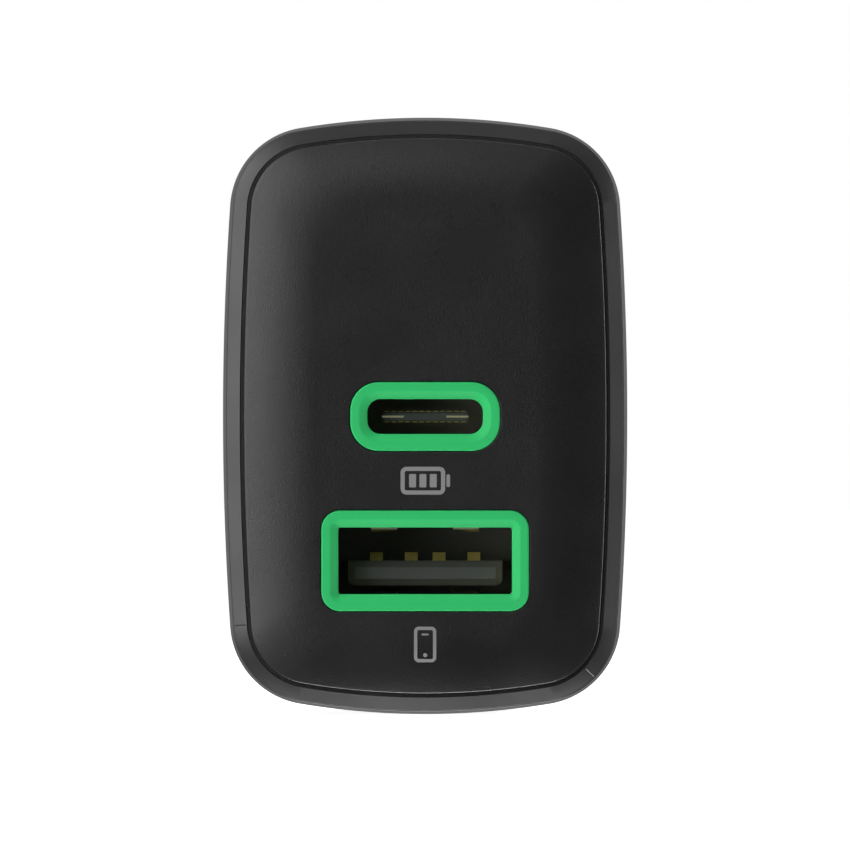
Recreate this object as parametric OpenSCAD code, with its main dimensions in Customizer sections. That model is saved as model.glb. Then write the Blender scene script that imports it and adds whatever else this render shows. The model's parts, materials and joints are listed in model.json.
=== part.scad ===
// Two-port USB wall charger with a fixed European two-pin plug.
// Millimetres. The face looks along -Y, the pins point along +Y and Z is up.
// The origin is on the end face of the plug, midway between the two pins.

/* [Body] */
// Width of the body, left to right
body_w = 29.1; // [28.6:0.02:30]
// Height of the body, top to bottom
body_h = 42.92; // [42.4:0.02:44]
// Depth of the body, from its face to its back
body_d = 48; // [47.5:0.5:50]
// Radius of the bowed left and right sides
side_r = 223; // [180:1:300]
// Radius of the bowed top and bottom
top_r = 55; // [50:1:65]
// Radius of the four corners
corner_r = 6; // [5.6:0.1:6.4]
// Thickness of the housing's wall
wall = 1.7; // [1.5:0.1:1.8]

/* [Face] */
// How far the rim's front edge lies inside the widest outline
edge_inset = 0.35; // [0.1:0.01:0.4]
// Width of the bevel round the rim
bevel_w = 0.93; // [0.75:0.01:0.95]
// Depth of the bevel round the rim
bevel_d = 0.57; // [0.4:0.01:0.8]
// Width of the groove between the rim and the panel
groove_w = 0.27; // [0.2:0.01:0.35]
// How far the panel falls away from its flat middle to its edge
crown_d = 0.9; // [0.5:0.05:1]
// Width of the panel's flat middle
flat_w = 15.8; // [15:0.1:17]
// Height of the panel's flat middle
flat_h = 31.4; // [31:0.2:34]

/* [Ports] */
// Height of the USB-C port's middle above the pins' plane
usb_c_z = -0.05; // [-0.2:0.05:0.4]
// Height of the USB-A port's middle above the pins' plane
usb_a_z = -10.4; // [-10.6:0.1:-10.2]
// Width of the coloured ring round each port
ring_w = 1.22; // [1.1:0.02:1.24]
// How far the rings stand out of the panel
ring_proud = 0.06; // [0.02:0.02:0.2]
// Width of the chamfer that leads a plug into each port
lead_in = 0.5; // [0.3:0.05:0.6]

/* [Plug] */
// Distance between the middles of the two pins
pin_spacing = 19; // [18.6:0.1:19.4]
// Diameter of the bare end of a pin
pin_d = 4; // [3.94:0.02:4.06]
// Length of a pin beyond the plug's end face
pin_l = 19; // [18.5:0.1:19.5]
// Diameter of the insulating sleeve
sleeve_d = 3.6; // [3.4:0.05:3.65]
// Length of the insulating sleeve beyond the plug's end face
sleeve_l = 10; // [9.5:0.5:11]
// Length of the plug's neck, which reaches the floor of a recessed socket
neck_l = 18; // [17.5:0.5:19]
// Width of the neck at its end
neck_w = 13.7; // [13.5:0.1:14]
// Height of the neck at its end
neck_h = 35.3; // [35:0.1:35.5]

/* [Electronics] */
// Thickness of both circuit boards
board_t = 1.2; // [1:0.1:1.2]
// Diameter of the two mains capacitors
bulk_cap_d = 10; // [9:0.5:10]
// Length of the two mains capacitors
bulk_cap_l = 19; // [16:0.5:19]
// Diameter of the output capacitors
output_cap_d = 6.3; // [5:0.1:6.3]

/* [Hidden] */
$fn = 48;

// Clearance between moulded pieces that fit into each other
fit_gap = 0.05;

// Places along the depth
face_y = -neck_l - body_d;
back_y = -neck_l;
panel_t = 2;
panel_back_y = face_y + panel_t;
groove_floor_y = face_y + crown_d + 0.24;
seat_y = face_y + 4.5;
lip_y = face_y + crown_d + 0.13;
edge_y = lip_y + bevel_d;
widest_y = face_y + 9;
shoulder_r = 2.8;
shoulder_inset = 0.42;
inner_back_y = back_y - 1.8;

// Outline of the body: each corner arc is tangent to a side arc and to a top or bottom arc
side_x = body_w / 2 - side_r;
top_z = body_h / 2 - top_r;
arc_gap = norm([side_x, top_z]);
to_side = side_r - corner_r;
to_top = top_r - corner_r;
along = (to_side * to_side - to_top * to_top + arc_gap * arc_gap) / (2 * arc_gap);
across = sqrt(to_side * to_side - along * along);
gap_way = [-side_x, top_z] / arc_gap;
corner = [side_x, 0] + gap_way * along + [-gap_way.y, gap_way.x] * across;
side_angle = atan2(corner.y, corner.x - side_x);
top_angle = atan2(corner.y - top_z, corner.x);

// Insets from the widest outline
lip_inset = edge_inset + bevel_w;
panel_inset = lip_inset + groove_w;
skirt_inset = lip_inset + fit_gap;
skirt_t = 1;

// Ports
usb_c_open = [8.3, 2.5];
usb_c_open_r = 0.95;
usb_c_ring_r = 2.05;
usb_c_shell_in = [8.5, 2.72];
usb_c_shell_r = 1.25;
usb_a_open = [12.46, 4.78];
usb_a_open_r = 0.15;
usb_a_ring_r = 1.36;
usb_a_shell_in = [12.5, 5.12];
usb_a_shell_r = 0.5;
shell_t = 0.3;
shell_front_y = face_y + 1.7;
ring_gap = 0.06;
flange_w = 0.8;
flange_t = 0.8;

// Boards
output_front_y = face_y + 14.7;
output_back_y = output_front_y + board_t;
main_top_x = -9.4;
main_bottom_x = main_top_x - board_t;
main_y = [output_back_y + 0.2, back_y - 3.9];
main_half_z = 17;
lead_end_x = main_bottom_x - 0.6;
lead_r = 0.3;

// Places of the parts on the main board, as [y, z]
bulk_a_at = [-27.3, 0];
bulk_b_at = [-38.2, -5.2];
output_cap_at = [[-46.7, -1.5], [-46.7, -8.2]];
output_cap_l = 9;
x_cap_at = [-29.8, 10.9];
y_cap_at = [-38, -13.6];
fuse_at = [-24.4, 13.8];
varistor_at = [-24.5, -14.2];
choke_at = [-29.6, -11.6];
transformer_at = [-41.3, 9.6];
stand_off = 0.3;
part_base_x = main_top_x + stand_off;

// Transformer
core_y = 16.6;
core_z = 10;
core_leg = 2.4;
core_plate = 2.8;
core_bottom_x = -6.6;
core_top_x = 10.4;
core_mid_x = (core_bottom_x + core_top_x) / 2;
core_post_r = 3.2;
bobbin_r = [core_post_r + 0.1, core_post_r + 0.7];
primary_r = 4.6;
secondary_r = 5.3;
tape_r = 5.5;
flange_x = 0.7;
transformer_pin_y = [-5.7, -1.9, 1.9, 5.7];
transformer_pin_z = 5.8;

// ---------- helpers ----------

function polar(r, angle) = r * [cos(angle), sin(angle)];

// Points of an arc, without its last one
function arc(c, r, from, to, steps) =
    [for (i = [0 : steps - 1]) c + polar(r, from + (to - from) * i / steps)];

// The body's outline, moved inwards by inset, anticlockwise as seen from the face
function body_outline(inset) = concat(
    arc([side_x, 0], side_r - inset, -side_angle, side_angle, 12),
    arc(corner, corner_r - inset, side_angle, top_angle, 9),
    arc([0, top_z], top_r - inset, top_angle, 180 - top_angle, 10),
    arc([-corner.x, corner.y], corner_r - inset, 180 - top_angle, 180 - side_angle, 9),
    arc([-side_x, 0], side_r - inset, 180 - side_angle, 180 + side_angle, 12),
    arc([-corner.x, -corner.y], corner_r - inset, 180 + side_angle, 180 + top_angle, 9),
    arc([0, -top_z], top_r - inset, 180 + top_angle, 360 - top_angle, 10),
    arc([corner.x, -corner.y], corner_r - inset, 360 - top_angle, 360 - side_angle, 9)
);

// A convex outline, anticlockwise, with every corner rounded
function rounded(corners, r, steps = 6) = [
    for (i = [0 : len(corners) - 1])
        let (
            p = corners[i],
            u = corners[(i + len(corners) - 1) % len(corners)] - p,
            v = corners[(i + 1) % len(corners)] - p,
            u1 = u / norm(u),
            v1 = v / norm(v),
            half = acos(u1 * v1) / 2,
            c = p + (u1 + v1) / norm(u1 + v1) * r / sin(half),
            t = p + u1 * r / tan(half) - c,
            from = atan2(t.y, t.x)
        )
        for (k = [0 : steps]) c + polar(r, from + (180 - 2 * half) * k / steps)
];

function box_corners(size) = [
    [size.x / 2, -size.y / 2], [size.x / 2, size.y / 2], [-size.x / 2, size.y / 2], [-size.x / 2, -size.y / 2]
];

function grown(size, by) = [size.x + 2 * by, size.y + 2 * by];

// The outline of a strip of thickness t that follows a path
function ribbon(path, t) =
    let (
        n = len(path),
        way = [for (i = [0 : n - 2]) path[i + 1] - path[i]],
        side = [for (w = way) [-w.y, w.x] / norm(w)],
        off = [for (i = [0 : n - 1]) let (m = side[max(i - 1, 0)] + side[min(i, n - 2)]) m * t / (m * m)]
    )
    concat([for (i = [0 : n - 1]) path[i] + off[i]], [for (i = [n - 1 : -1 : 0]) path[i] - off[i]]);

// A flat outline in X and Z, set at a depth y and raised by z
function at_y(outline, y, z = 0) = [for (p = outline) [p.x, y, p.y + z]];

// A closed solid through rings of points, from the front to the back
module loft(rings) {
    n = len(rings[0]);
    m = len(rings);
    sides = [
        for (i = [0 : m - 2], j = [0 : n - 1])
            let (a = i * n + j, b = i * n + (j + 1) % n)
            each [[a, b, b + n], [a, b + n, a + n]]
    ];
    front = [[for (j = [n - 1 : -1 : 0]) j]];
    back = [[for (j = [0 : n - 1]) (m - 1) * n + j]];
    polyhedron([for (ring = rings) each ring], concat(front, sides, back), convexity = 6);
}

// Extrudes a shape drawn in X and Z from depth y0 to depth y1
module slab(y0, y1) {
    translate([0, y1, 0]) rotate([90, 0, 0]) linear_extrude(y1 - y0) children();
}

// Extrudes a shape drawn in Y and Z over a width along X, centred on x
module across_x(width, x = 0) {
    translate([x - width / 2, 0, 0]) rotate([90, 0, 90]) linear_extrude(width) children();
}

module rounded_box_2d(size, r, z = 0) {
    translate([0, z]) polygon(rounded(box_corners(size), r));
}

// A box between two opposite corners
module block(a, b) {
    low = [for (i = [0 : 2]) min(a[i], b[i])];
    high = [for (i = [0 : 2]) max(a[i], b[i])];
    translate(low) cube(high - low);
}

module rod_x(r, x0, x1, y, z) {
    translate([x0, y, z]) rotate([0, 90, 0]) cylinder(h = x1 - x0, r = r);
}

module rod_y(r, y0, y1, x, z) {
    translate([x, y0, z]) rotate([-90, 0, 0]) cylinder(h = y1 - y0, r = r);
}

// ---------- housing ----------

// The back edge of the housing is a quarter round
function shoulder() = [
    for (a = [0 : 15 : 90])
        [back_y - shoulder_r + shoulder_r * sin(a), shoulder_inset + shoulder_r * (1 - cos(a))]
];

module housing_outside() {
    profile = concat(
        [
            [lip_y, lip_inset],
            [edge_y, edge_inset],
            [edge_y + 1, edge_inset * 0.72],
            [edge_y + 2.8, edge_inset * 0.35],
            [edge_y + 5.2, edge_inset * 0.08],
            [widest_y, 0],
            [widest_y + 14, 0.04],
            [widest_y + 27, 0.2]
        ],
        shoulder()
    );
    loft([for (p = profile) at_y(body_outline(p[1]), p[0])]);
}

module housing_inside() {
    profile = [
        [lip_y - 1, lip_inset],
        [seat_y, lip_inset],
        [seat_y, wall],
        [inner_back_y - 1, wall],
        [inner_back_y, wall + 0.7]
    ];
    loft([for (p = profile) at_y(body_outline(p[1]), p[0])]);
}

// Two pairs of ribs on the inner wall hold the long edges of the main board
module board_rails() {
    rail_t = 0.7;
    rail_gap = 0.1;
    for (side = [-1, 1], x = [main_top_x + rail_gap, main_bottom_x - rail_gap - rail_t])
        block(
            [x, main_y[0] + 1, side * (main_half_z - 0.6)],
            [x + rail_t, main_y[1], side * body_h / 2]
        );
}

module housing_shell() {
    color([0.13, 0.13, 0.135])
        difference() {
            housing_outside();
            difference() {
                housing_inside();
                board_rails();
            }
            slab(inner_back_y - 1, back_y + 1) neck_2d(neck_root, fit_gap);
        }
}

// ---------- front panel ----------

// One ring of the crowned panel: step 0 is its edge and step 1 its flat middle
function crown_ring(step) =
    let (
        edge = body_outline(panel_inset),
        kx = flat_w / (body_w - 2 * panel_inset),
        kz = flat_h / (body_h - 2 * panel_inset),
        y = face_y + crown_d * pow(1 - step, 2)
    )
    [for (p = edge) [p.x * (1 - step * (1 - kx)), y, p.y * (1 - step * (1 - kz))]];

module panel_solid() {
    fillet = 0.12;
    crown_edge_y = face_y + crown_d;
    loft(concat(
        [for (i = [0 : 7]) crown_ring(1 - i / 8)],
        [
            at_y(body_outline(panel_inset + fillet), crown_edge_y - fillet * 0.25),
            at_y(body_outline(panel_inset + fillet * 0.3), crown_edge_y + fillet * 0.2),
            at_y(body_outline(panel_inset), crown_edge_y + fillet),
            at_y(body_outline(panel_inset), groove_floor_y),
            at_y(body_outline(skirt_inset), groove_floor_y),
            at_y(body_outline(skirt_inset), seat_y - fit_gap)
        ]
    ));
}

// Posts behind the panel press on the output board
module panel_posts() {
    for (x = [-9.6, 9.6], z = [-5, 14]) rod_y(1, panel_back_y - 0.5, output_front_y - 0.05, x, z);
}

module front_panel() {
    color([0.1, 0.1, 0.105])
        union() {
            difference() {
                panel_solid();
                slab(panel_back_y, seat_y + 1) polygon(body_outline(skirt_inset + skirt_t));
                slab(face_y - 1, seat_y)
                    rounded_box_2d(grown(usb_c_open, ring_w + ring_gap), usb_c_ring_r + ring_gap, usb_c_z);
                slab(face_y - 1, seat_y)
                    rounded_box_2d(grown(usb_a_open, ring_w + ring_gap), usb_a_ring_r + ring_gap, usb_a_z);
            }
            panel_posts();
        }
}

// ---------- coloured rings ----------

module bezel(z, open, open_r, ring_r, shell_in, shell_r) {
    front_y = face_y - ring_proud;
    mouth = lead_in + 0.1;
    difference() {
        union() {
            slab(front_y, panel_back_y + 0.1) rounded_box_2d(grown(open, ring_w), ring_r, z);
            slab(panel_back_y, panel_back_y + flange_t)
                rounded_box_2d(grown(open, ring_w + flange_w), ring_r + flange_w, z);
        }
        slab(front_y - 1, panel_back_y + 2) rounded_box_2d(open, open_r, z);
        loft([
            at_y(rounded(box_corners(grown(open, mouth)), open_r + lead_in * 0.8), front_y - 0.07, z),
            at_y(rounded(box_corners(open), open_r), front_y + 0.35, z)
        ]);
        slab(shell_front_y - fit_gap, panel_back_y + 2)
            rounded_box_2d(grown(shell_in, shell_t + fit_gap), shell_r + shell_t + fit_gap, z);
    }
}

module usb_c_bezel() {
    color([0.2, 0.73, 0.43])
        bezel(usb_c_z, usb_c_open, usb_c_open_r, usb_c_ring_r, usb_c_shell_in, usb_c_shell_r);
}

module usb_a_bezel() {
    color([0.2, 0.73, 0.43])
        bezel(usb_a_z, usb_a_open, usb_a_open_r, usb_a_ring_r, usb_a_shell_in, usb_a_shell_r);
}

// ---------- plug ----------

neck_root = [neck_w + 0.4, neck_h + 0.5];

// The plug's section: a long box with its four corners cut off
module neck_2d(size, grow) {
    polygon(neck_outline(size, grow));
}

function neck_outline(size, grow) =
    let (
        w = size.x / 2 + grow,
        h = size.y / 2 + grow,
        end_w = size.x * 0.19 + grow * 0.4,
        side_h = size.y * 0.365 + grow * 0.4
    )
    rounded(
        [
            [w, -side_h], [w, side_h], [end_w, h], [-end_w, h],
            [-w, side_h], [-w, -side_h], [-end_w, -h], [end_w, -h]
        ],
        1.4
    );

pin_shank_r = 1.75;
pin_anchor_r = 2.5;
pin_core_r = 1.5;
pin_tail_y = -9;
plug_wall_t = 3.5;
anchor_y = [-3.2, -1.6];
neck_flange_t = 1.4;
neck_wall_t = 1.6;

module plug_base() {
    end_round = 0.6;
    flange_y = inner_back_y - neck_flange_t;
    neck_end = [neck_w, neck_h];
    color([0.12, 0.12, 0.125])
        difference() {
            union() {
                loft([
                    at_y(neck_outline(neck_root, 0), flange_y),
                    at_y(neck_outline(neck_end, 0), -end_round),
                    at_y(neck_outline(neck_end, -end_round * 0.3), -end_round * 0.3),
                    at_y(neck_outline(neck_end, -end_round), 0)
                ]);
                slab(flange_y, inner_back_y - fit_gap) neck_2d(neck_root, 0.7);
            }
            slab(flange_y - 1, -plug_wall_t) neck_2d(neck_end, -neck_wall_t);
            for (z = [-pin_spacing / 2, pin_spacing / 2]) {
                rod_y(pin_shank_r, -plug_wall_t - 1, 1, 0, z);
                rod_y(pin_anchor_r, anchor_y[0], anchor_y[1], 0, z);
                rod_y(sleeve_d / 2, anchor_y[1], 1, 0, z);
                rod_y(sleeve_d / 2 + 0.06, -0.3, 1, 0, z);
            }
        }
}

// A turned pin: tail, anchor flange, thin core under the sleeve, and a bare end with a round tip
module mains_pin(z) {
    r = pin_d / 2;
    tip = arc([0, pin_l - r], r, 0, 90, 10);
    flat_x = -1.2;
    color([0.83, 0.82, 0.8])
        difference() {
            translate([0, 0, z])
                rotate([-90, 0, 0])
                    rotate_extrude()
                        polygon(concat(
                            [
                                [0, pin_tail_y], [pin_shank_r, pin_tail_y],
                                [pin_shank_r, anchor_y[0]], [pin_anchor_r, anchor_y[0]],
                                [pin_anchor_r, anchor_y[1]], [pin_core_r, anchor_y[1]],
                                [pin_core_r, sleeve_l], [r, sleeve_l]
                            ],
                            tip,
                            [[0, pin_l]]
                        ));
            block([-pin_d, pin_tail_y - 1, z - 3], [flat_x, -plug_wall_t - 0.5, z + 3]);
        }
}

module pin_sleeve(z) {
    color([0.1, 0.1, 0.1])
        difference() {
            rod_y(sleeve_d / 2, anchor_y[1], sleeve_l, 0, z);
            rod_y(pin_core_r, anchor_y[1] - 1, sleeve_l + 1, 0, z);
        }
}

// A bronze strip from the flat on a pin's tail to the main board
module contact_strip(z) {
    strip_t = 0.4;
    strip_w = 3;
    strip_x = -1.2 - strip_t / 2;
    turn_y = back_y - 4.4;
    foot_x = main_top_x + strip_t / 2;
    path = [
        [strip_x, -4.4], [strip_x, turn_y + 0.7], [strip_x - 0.7, turn_y],
        [foot_x + 1.2, turn_y], [foot_x + 0.3, turn_y - 0.3], [foot_x, turn_y - 0.9], [foot_x, turn_y - 2]
    ];
    color([0.78, 0.6, 0.35])
        translate([0, 0, z - strip_w / 2]) linear_extrude(strip_w) polygon(ribbon(path, strip_t));
}

module live_pin() { mains_pin(pin_spacing / 2); }
module neutral_pin() { mains_pin(-pin_spacing / 2); }
module live_pin_sleeve() { pin_sleeve(pin_spacing / 2); }
module neutral_pin_sleeve() { pin_sleeve(-pin_spacing / 2); }
module live_contact_strip() { contact_strip(pin_spacing / 2); }
module neutral_contact_strip() { contact_strip(-pin_spacing / 2); }

// ---------- USB-A port ----------

finger_x = 2.93;
finger_w = 1.87;
finger_dip = 0.5;
tongue_a = [11.1, 1.78];
tongue_a_front_y = face_y + 3.8;
block_a_y = face_y + 11.2;
contact_a_x = [-3.5, -1, 1, 3.5];
contact_a_w = 0.93;
tab_x = usb_a_shell_in.x / 2 + shell_t / 2;

// A spring finger above the tongue: it starts at the back, and its end in the mouth turns sharply up
module upper_finger(z_wall) {
    low = z_wall - finger_dip;
    path = [
        [block_a_y - 0.6, z_wall], [block_a_y - 2, z_wall], [block_a_y - 5.2, low],
        [block_a_y - 6, low], [block_a_y - 6.3, low + 0.14], [block_a_y - 6.42, low + 0.52]
    ];
    across_x(finger_w) polygon(ribbon(path, shell_t));
}

// A spring finger below the tongue: it starts at the front and rises towards the back
module lower_finger(z_wall) {
    high = finger_dip - z_wall;
    path = [
        [block_a_y - 8.1, -z_wall], [block_a_y - 7, -z_wall], [block_a_y - 3.8, high],
        [block_a_y - 3, high], [block_a_y - 2.3, high - 0.2]
    ];
    across_x(finger_w) polygon(ribbon(path, shell_t));
}

module usb_a_shell() {
    wall_z = usb_a_shell_in.y / 2 + shell_t / 2;
    window_w = finger_w + 0.5;
    window_y = [block_a_y - 7.8, block_a_y - 0.8];
    color([0.72, 0.72, 0.7])
        translate([0, 0, usb_a_z]) {
            difference() {
                slab(shell_front_y, output_front_y)
                    rounded_box_2d(grown(usb_a_shell_in, shell_t), usb_a_shell_r + shell_t);
                slab(shell_front_y - 1, output_front_y + 1) rounded_box_2d(usb_a_shell_in, usb_a_shell_r);
                for (x = [-finger_x, finger_x])
                    block([x - window_w / 2, window_y[0], -4], [x + window_w / 2, window_y[1], 4]);
            }
            for (x = [-finger_x, finger_x])
                translate([x, 0, 0]) {
                    upper_finger(wall_z);
                    lower_finger(wall_z);
                }
            for (x = [-tab_x, tab_x])
                block([x - shell_t / 2, output_front_y - 0.2, -1], [x + shell_t / 2, output_back_y + 0.1, 1]);
        }
}

// The tongue's front has a chamfer all round, and its lower edges are rounded
module tongue_a_solid() {
    chamfer = 0.48;
    size = tongue_a;
    function section(by, r) = let (w = size.x / 2 - by, low = -size.y + by, high = -by)
        concat(
            [[w, high], [-w, high]],
            arc([-w + r, low + r], r, 180, 270, 5), [[-w + r, low]],
            arc([w - r, low + r], r, 270, 360, 5), [[w, low + r]]
        );
    loft([
        at_y(section(chamfer, 0.04), tongue_a_front_y),
        at_y(section(0, 0.5), tongue_a_front_y + chamfer),
        at_y(section(0, 0.5), block_a_y)
    ]);
}

// A spring contact: flat in its groove, with a hump that the plug presses down
module contact_a(x, extra = 0) {
    groove_z = -0.16;
    t = 0.2;
    front_y = tongue_a_front_y + 0.9;
    path = [
        [front_y, groove_z], [front_y + 0.5, groove_z], [front_y + 1.8, 0.5], [front_y + 2.5, 0.5],
        [front_y + 4.4, groove_z], [output_front_y - 0.02, groove_z]
    ];
    across_x(contact_a_w + extra, x) polygon(ribbon(path, t + extra));
}

module usb_a_contacts() {
    color([0.8, 0.68, 0.36])
        translate([0, 0, usb_a_z])
            for (x = contact_a_x) contact_a(x);
}

// A channel for one contact: shallow along the tongue, deep where the hump enters the block
module contact_channel(x) {
    half_w = contact_a_w / 2 + 0.06;
    floor_z = -0.32;
    block([x - half_w, tongue_a_front_y + 0.85, floor_z], [x + half_w, block_a_y, 0.1]);
    block([x - half_w, block_a_y - 0.1, floor_z], [x + half_w, block_a_y + 0.7, 0.62]);
    block([x - half_w, block_a_y, floor_z], [x + half_w, output_front_y + 1, 0]);
}

// A slot in the block's front beside the tongue
module side_notch(side) {
    block(
        [side * (tongue_a.x / 2 + 0.02), block_a_y - 1, -0.65],
        [side * usb_a_shell_in.x, block_a_y + 1.5, -0.04]
    );
}

module usb_a_insulator() {
    block_size = grown(usb_a_shell_in, -0.02);
    color([0.2, 0.21, 0.2])
        translate([0, 0, usb_a_z])
            difference() {
                union() {
                    tongue_a_solid();
                    slab(block_a_y, output_front_y) rounded_box_2d(block_size, usb_a_shell_r);
                }
                for (x = contact_a_x) contact_channel(x);
                for (side = [-1, 1]) side_notch(side);
            }
}

// ---------- USB-C port ----------

tongue_c = [6.2, 0.7];
tongue_c_front_y = face_y + 2.9;
step_c = [6.5, 1.25];
step_c_y = face_y + 7.4;
block_c_y = face_y + 8.4;
tongue_c_chamfer = 0.11;
pad_t = 0.12;
pad_proud = 0.06;
pad_w = 0.32;
plate_t = 0.14;
plate_gap_w = 3.05;

module usb_c_shell() {
    r = usb_c_shell_r;
    color([0.74, 0.74, 0.72])
        translate([0, 0, usb_c_z])
            difference() {
                slab(shell_front_y, output_front_y)
                    rounded_box_2d(grown(usb_c_shell_in, shell_t), r + shell_t);
                slab(shell_front_y - 1, output_front_y + 1) rounded_box_2d(usb_c_shell_in, r);
            }
}

// Twelve flat contacts at half a millimetre, on one face of the tongue
module usb_c_row(side) {
    low = tongue_c.y / 2 - pad_t + pad_proud;
    color([0.82, 0.7, 0.4])
        translate([0, 0, usb_c_z])
            for (i = [0 : 11], x = [-2.75 + 0.5 * i])
                mirror([0, 0, side])
                    block(
                        [x - pad_w / 2, tongue_c_front_y + 0.3, low],
                        [x + pad_w / 2, output_front_y, low + pad_t]
                    );
}

module usb_c_upper_contacts() { usb_c_row(0); }
module usb_c_lower_contacts() { usb_c_row(1); }

// The steel plate inside the tongue: two prongs of it show at the tongue's front
module usb_c_mid_plate() {
    color([0.78, 0.76, 0.6])
        translate([0, 0, usb_c_z])
            difference() {
                block(
                    [-tongue_c.x / 2, tongue_c_front_y, -plate_t / 2],
                    [tongue_c.x / 2, output_front_y - 1, plate_t / 2]
                );
                block(
                    [-plate_gap_w / 2, tongue_c_front_y - 1, -1],
                    [plate_gap_w / 2, tongue_c_front_y + 1.5, 1]
                );
            }
}

module usb_c_insulator() {
    front = grown(tongue_c, -tongue_c_chamfer);
    color([0.16, 0.17, 0.16])
        difference() {
            translate([0, 0, usb_c_z])
                union() {
                    loft([
                        at_y(rounded(box_corners(front), 0.04), tongue_c_front_y),
                        at_y(rounded(box_corners(tongue_c), 0.1), tongue_c_front_y + tongue_c_chamfer),
                        at_y(rounded(box_corners(tongue_c), 0.1), block_c_y)
                    ]);
                    slab(step_c_y, block_c_y) rounded_box_2d(step_c, 0.3);
                    slab(block_c_y, output_front_y)
                        rounded_box_2d(grown(usb_c_shell_in, -0.02), usb_c_shell_r - 0.02);
                }
            usb_c_mid_plate();
            usb_c_upper_contacts();
            usb_c_lower_contacts();
        }
}

// ---------- boards ----------

link_pin_z = [for (i = [0 : 3]) -15.6 + 1.27 * i];
link_pin_w = 0.6;
link_pin_x = main_top_x + link_pin_w / 2;

// Every wire that goes through the main board, as [y, z, where it meets its part]
lead_places = concat(
    [for (dz = [-2.5, 2.5]) [bulk_a_at.x, bulk_a_at.y + dz, part_base_x]],
    [for (dz = [-2.5, 2.5]) [bulk_b_at.x, bulk_b_at.y + dz, part_base_x]],
    [for (p = output_cap_at, dz = [-1.25, 1.25]) [p.x, p.y + dz, part_base_x]],
    [for (dz = [-3.75, 3.75]) [x_cap_at.x, x_cap_at.y + dz, part_base_x]],
    [for (dz = [-1.6, 1.6]) [fuse_at.x, fuse_at.y + dz, part_base_x]],
    [for (dz = [-1.6, 1.6]) [varistor_at.x, varistor_at.y + dz, -7.6]],
    [for (dy = [-2, 2]) [y_cap_at.x + dy, y_cap_at.y, -7.4]],
    [for (dy = [-1.6, 1.6], dz = [-1.8, 1.8]) [choke_at.x + dy, choke_at.y + dz, -8.2]]
);

module lead(place) {
    rod_x(lead_r, lead_end_x, place[2], place[0], place[1]);
}

module component_leads() {
    color([0.75, 0.75, 0.73])
        difference() {
            for (place = lead_places) lead(place);
            varistor();
            y_capacitor();
            choke_windings();
            choke_core();
        }
}

module board_hole(y, z) {
    rod_x(lead_r + 0.05, main_bottom_x - 1, main_top_x + 1, y, z);
}

module main_board() {
    color([0.1, 0.36, 0.2])
        difference() {
            block([main_bottom_x, main_y[0], -main_half_z], [main_top_x, main_y[1], main_half_z]);
            for (place = lead_places) board_hole(place[0], place[1]);
            for (dy = transformer_pin_y, dz = [-transformer_pin_z, transformer_pin_z])
                board_hole(transformer_at.x + dy, transformer_at.y + dz);
        }
}

module output_board() {
    size = [23.2, 34.8];
    hole = link_pin_w + 0.2;
    color([0.1, 0.36, 0.2])
        difference() {
            slab(output_front_y, output_back_y) rounded_box_2d(size, 3.5);
            for (x = [-tab_x, tab_x])
                block(
                    [x - 0.3, output_front_y - 1, usb_a_z - 1.2],
                    [x + 0.3, output_back_y + 1, usb_a_z + 1.2]
                );
            for (z = link_pin_z)
                block(
                    [link_pin_x - hole / 2, output_front_y - 1, z - hole / 2],
                    [link_pin_x + hole / 2, output_back_y + 1, z + hole / 2]
                );
        }
}

module board_link_pins() {
    color([0.8, 0.7, 0.4])
        for (z = link_pin_z)
            block(
                [main_top_x, output_front_y - 0.3, z - link_pin_w / 2],
                [main_top_x + link_pin_w, output_back_y + 2.8, z + link_pin_w / 2]
            );
}

// ---------- transformer ----------

// One E-shaped ferrite half: a plate, two outer legs and a round middle post
module core_half(plate_x, tip_x) {
    inner_x = plate_x + sign(tip_x - plate_x) * core_plate;
    half = [core_y / 2, core_z / 2];
    color([0.2, 0.2, 0.21])
        translate([0, transformer_at.x, transformer_at.y])
            union() {
                block([plate_x, -half.x, -half.y], [inner_x, half.x, half.y]);
                for (side = [-1, 1])
                    block([plate_x, side * (half.x - core_leg), -half.y], [tip_x, side * half.x, half.y]);
                rod_x(core_post_r, min(plate_x, tip_x), max(plate_x, tip_x), 0, 0);
            }
}

module transformer_lower_core() { core_half(core_bottom_x, core_mid_x); }
module transformer_upper_core() { core_half(core_top_x, core_mid_x); }

winding_x = [core_bottom_x + core_plate + 0.1 + flange_x, core_top_x - core_plate - 0.1 - flange_x];

module tube_x(r0, r1, x0, x1) {
    difference() {
        rod_x(r1, x0, x1, transformer_at.x, transformer_at.y);
        rod_x(r0, x0 - 1, x1 + 1, transformer_at.x, transformer_at.y);
    }
}

// A tube with two flanges, and two feet that carry the pins beside the lower core
module transformer_bobbin() {
    half = [5.7, 6.6];
    foot_y = 7;
    foot_z = core_z / 2 + fit_gap;
    bottom_x = winding_x[0] - flange_x;
    color([0.12, 0.13, 0.14])
        difference() {
            union() {
                tube_x(bobbin_r[0], bobbin_r[1], bottom_x, winding_x[1] + flange_x);
                translate([0, transformer_at.x, transformer_at.y]) {
                    for (x = [bottom_x, winding_x[1]])
                        block([x, -half.x, -half.y], [x + flange_x, half.x, half.y]);
                    for (side = [-1, 1])
                        block([main_top_x, -foot_y, side * foot_z], [bottom_x, foot_y, side * half.y]);
                }
            }
            rod_x(bobbin_r[0], bottom_x - 1, winding_x[1] + 2, transformer_at.x, transformer_at.y);
            transformer_pins();
        }
}

module transformer_pins() {
    color([0.75, 0.75, 0.73])
        for (dy = transformer_pin_y, dz = [-transformer_pin_z, transformer_pin_z])
            rod_x(lead_r, lead_end_x, main_top_x + 2, transformer_at.x + dy, transformer_at.y + dz);
}

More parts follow.
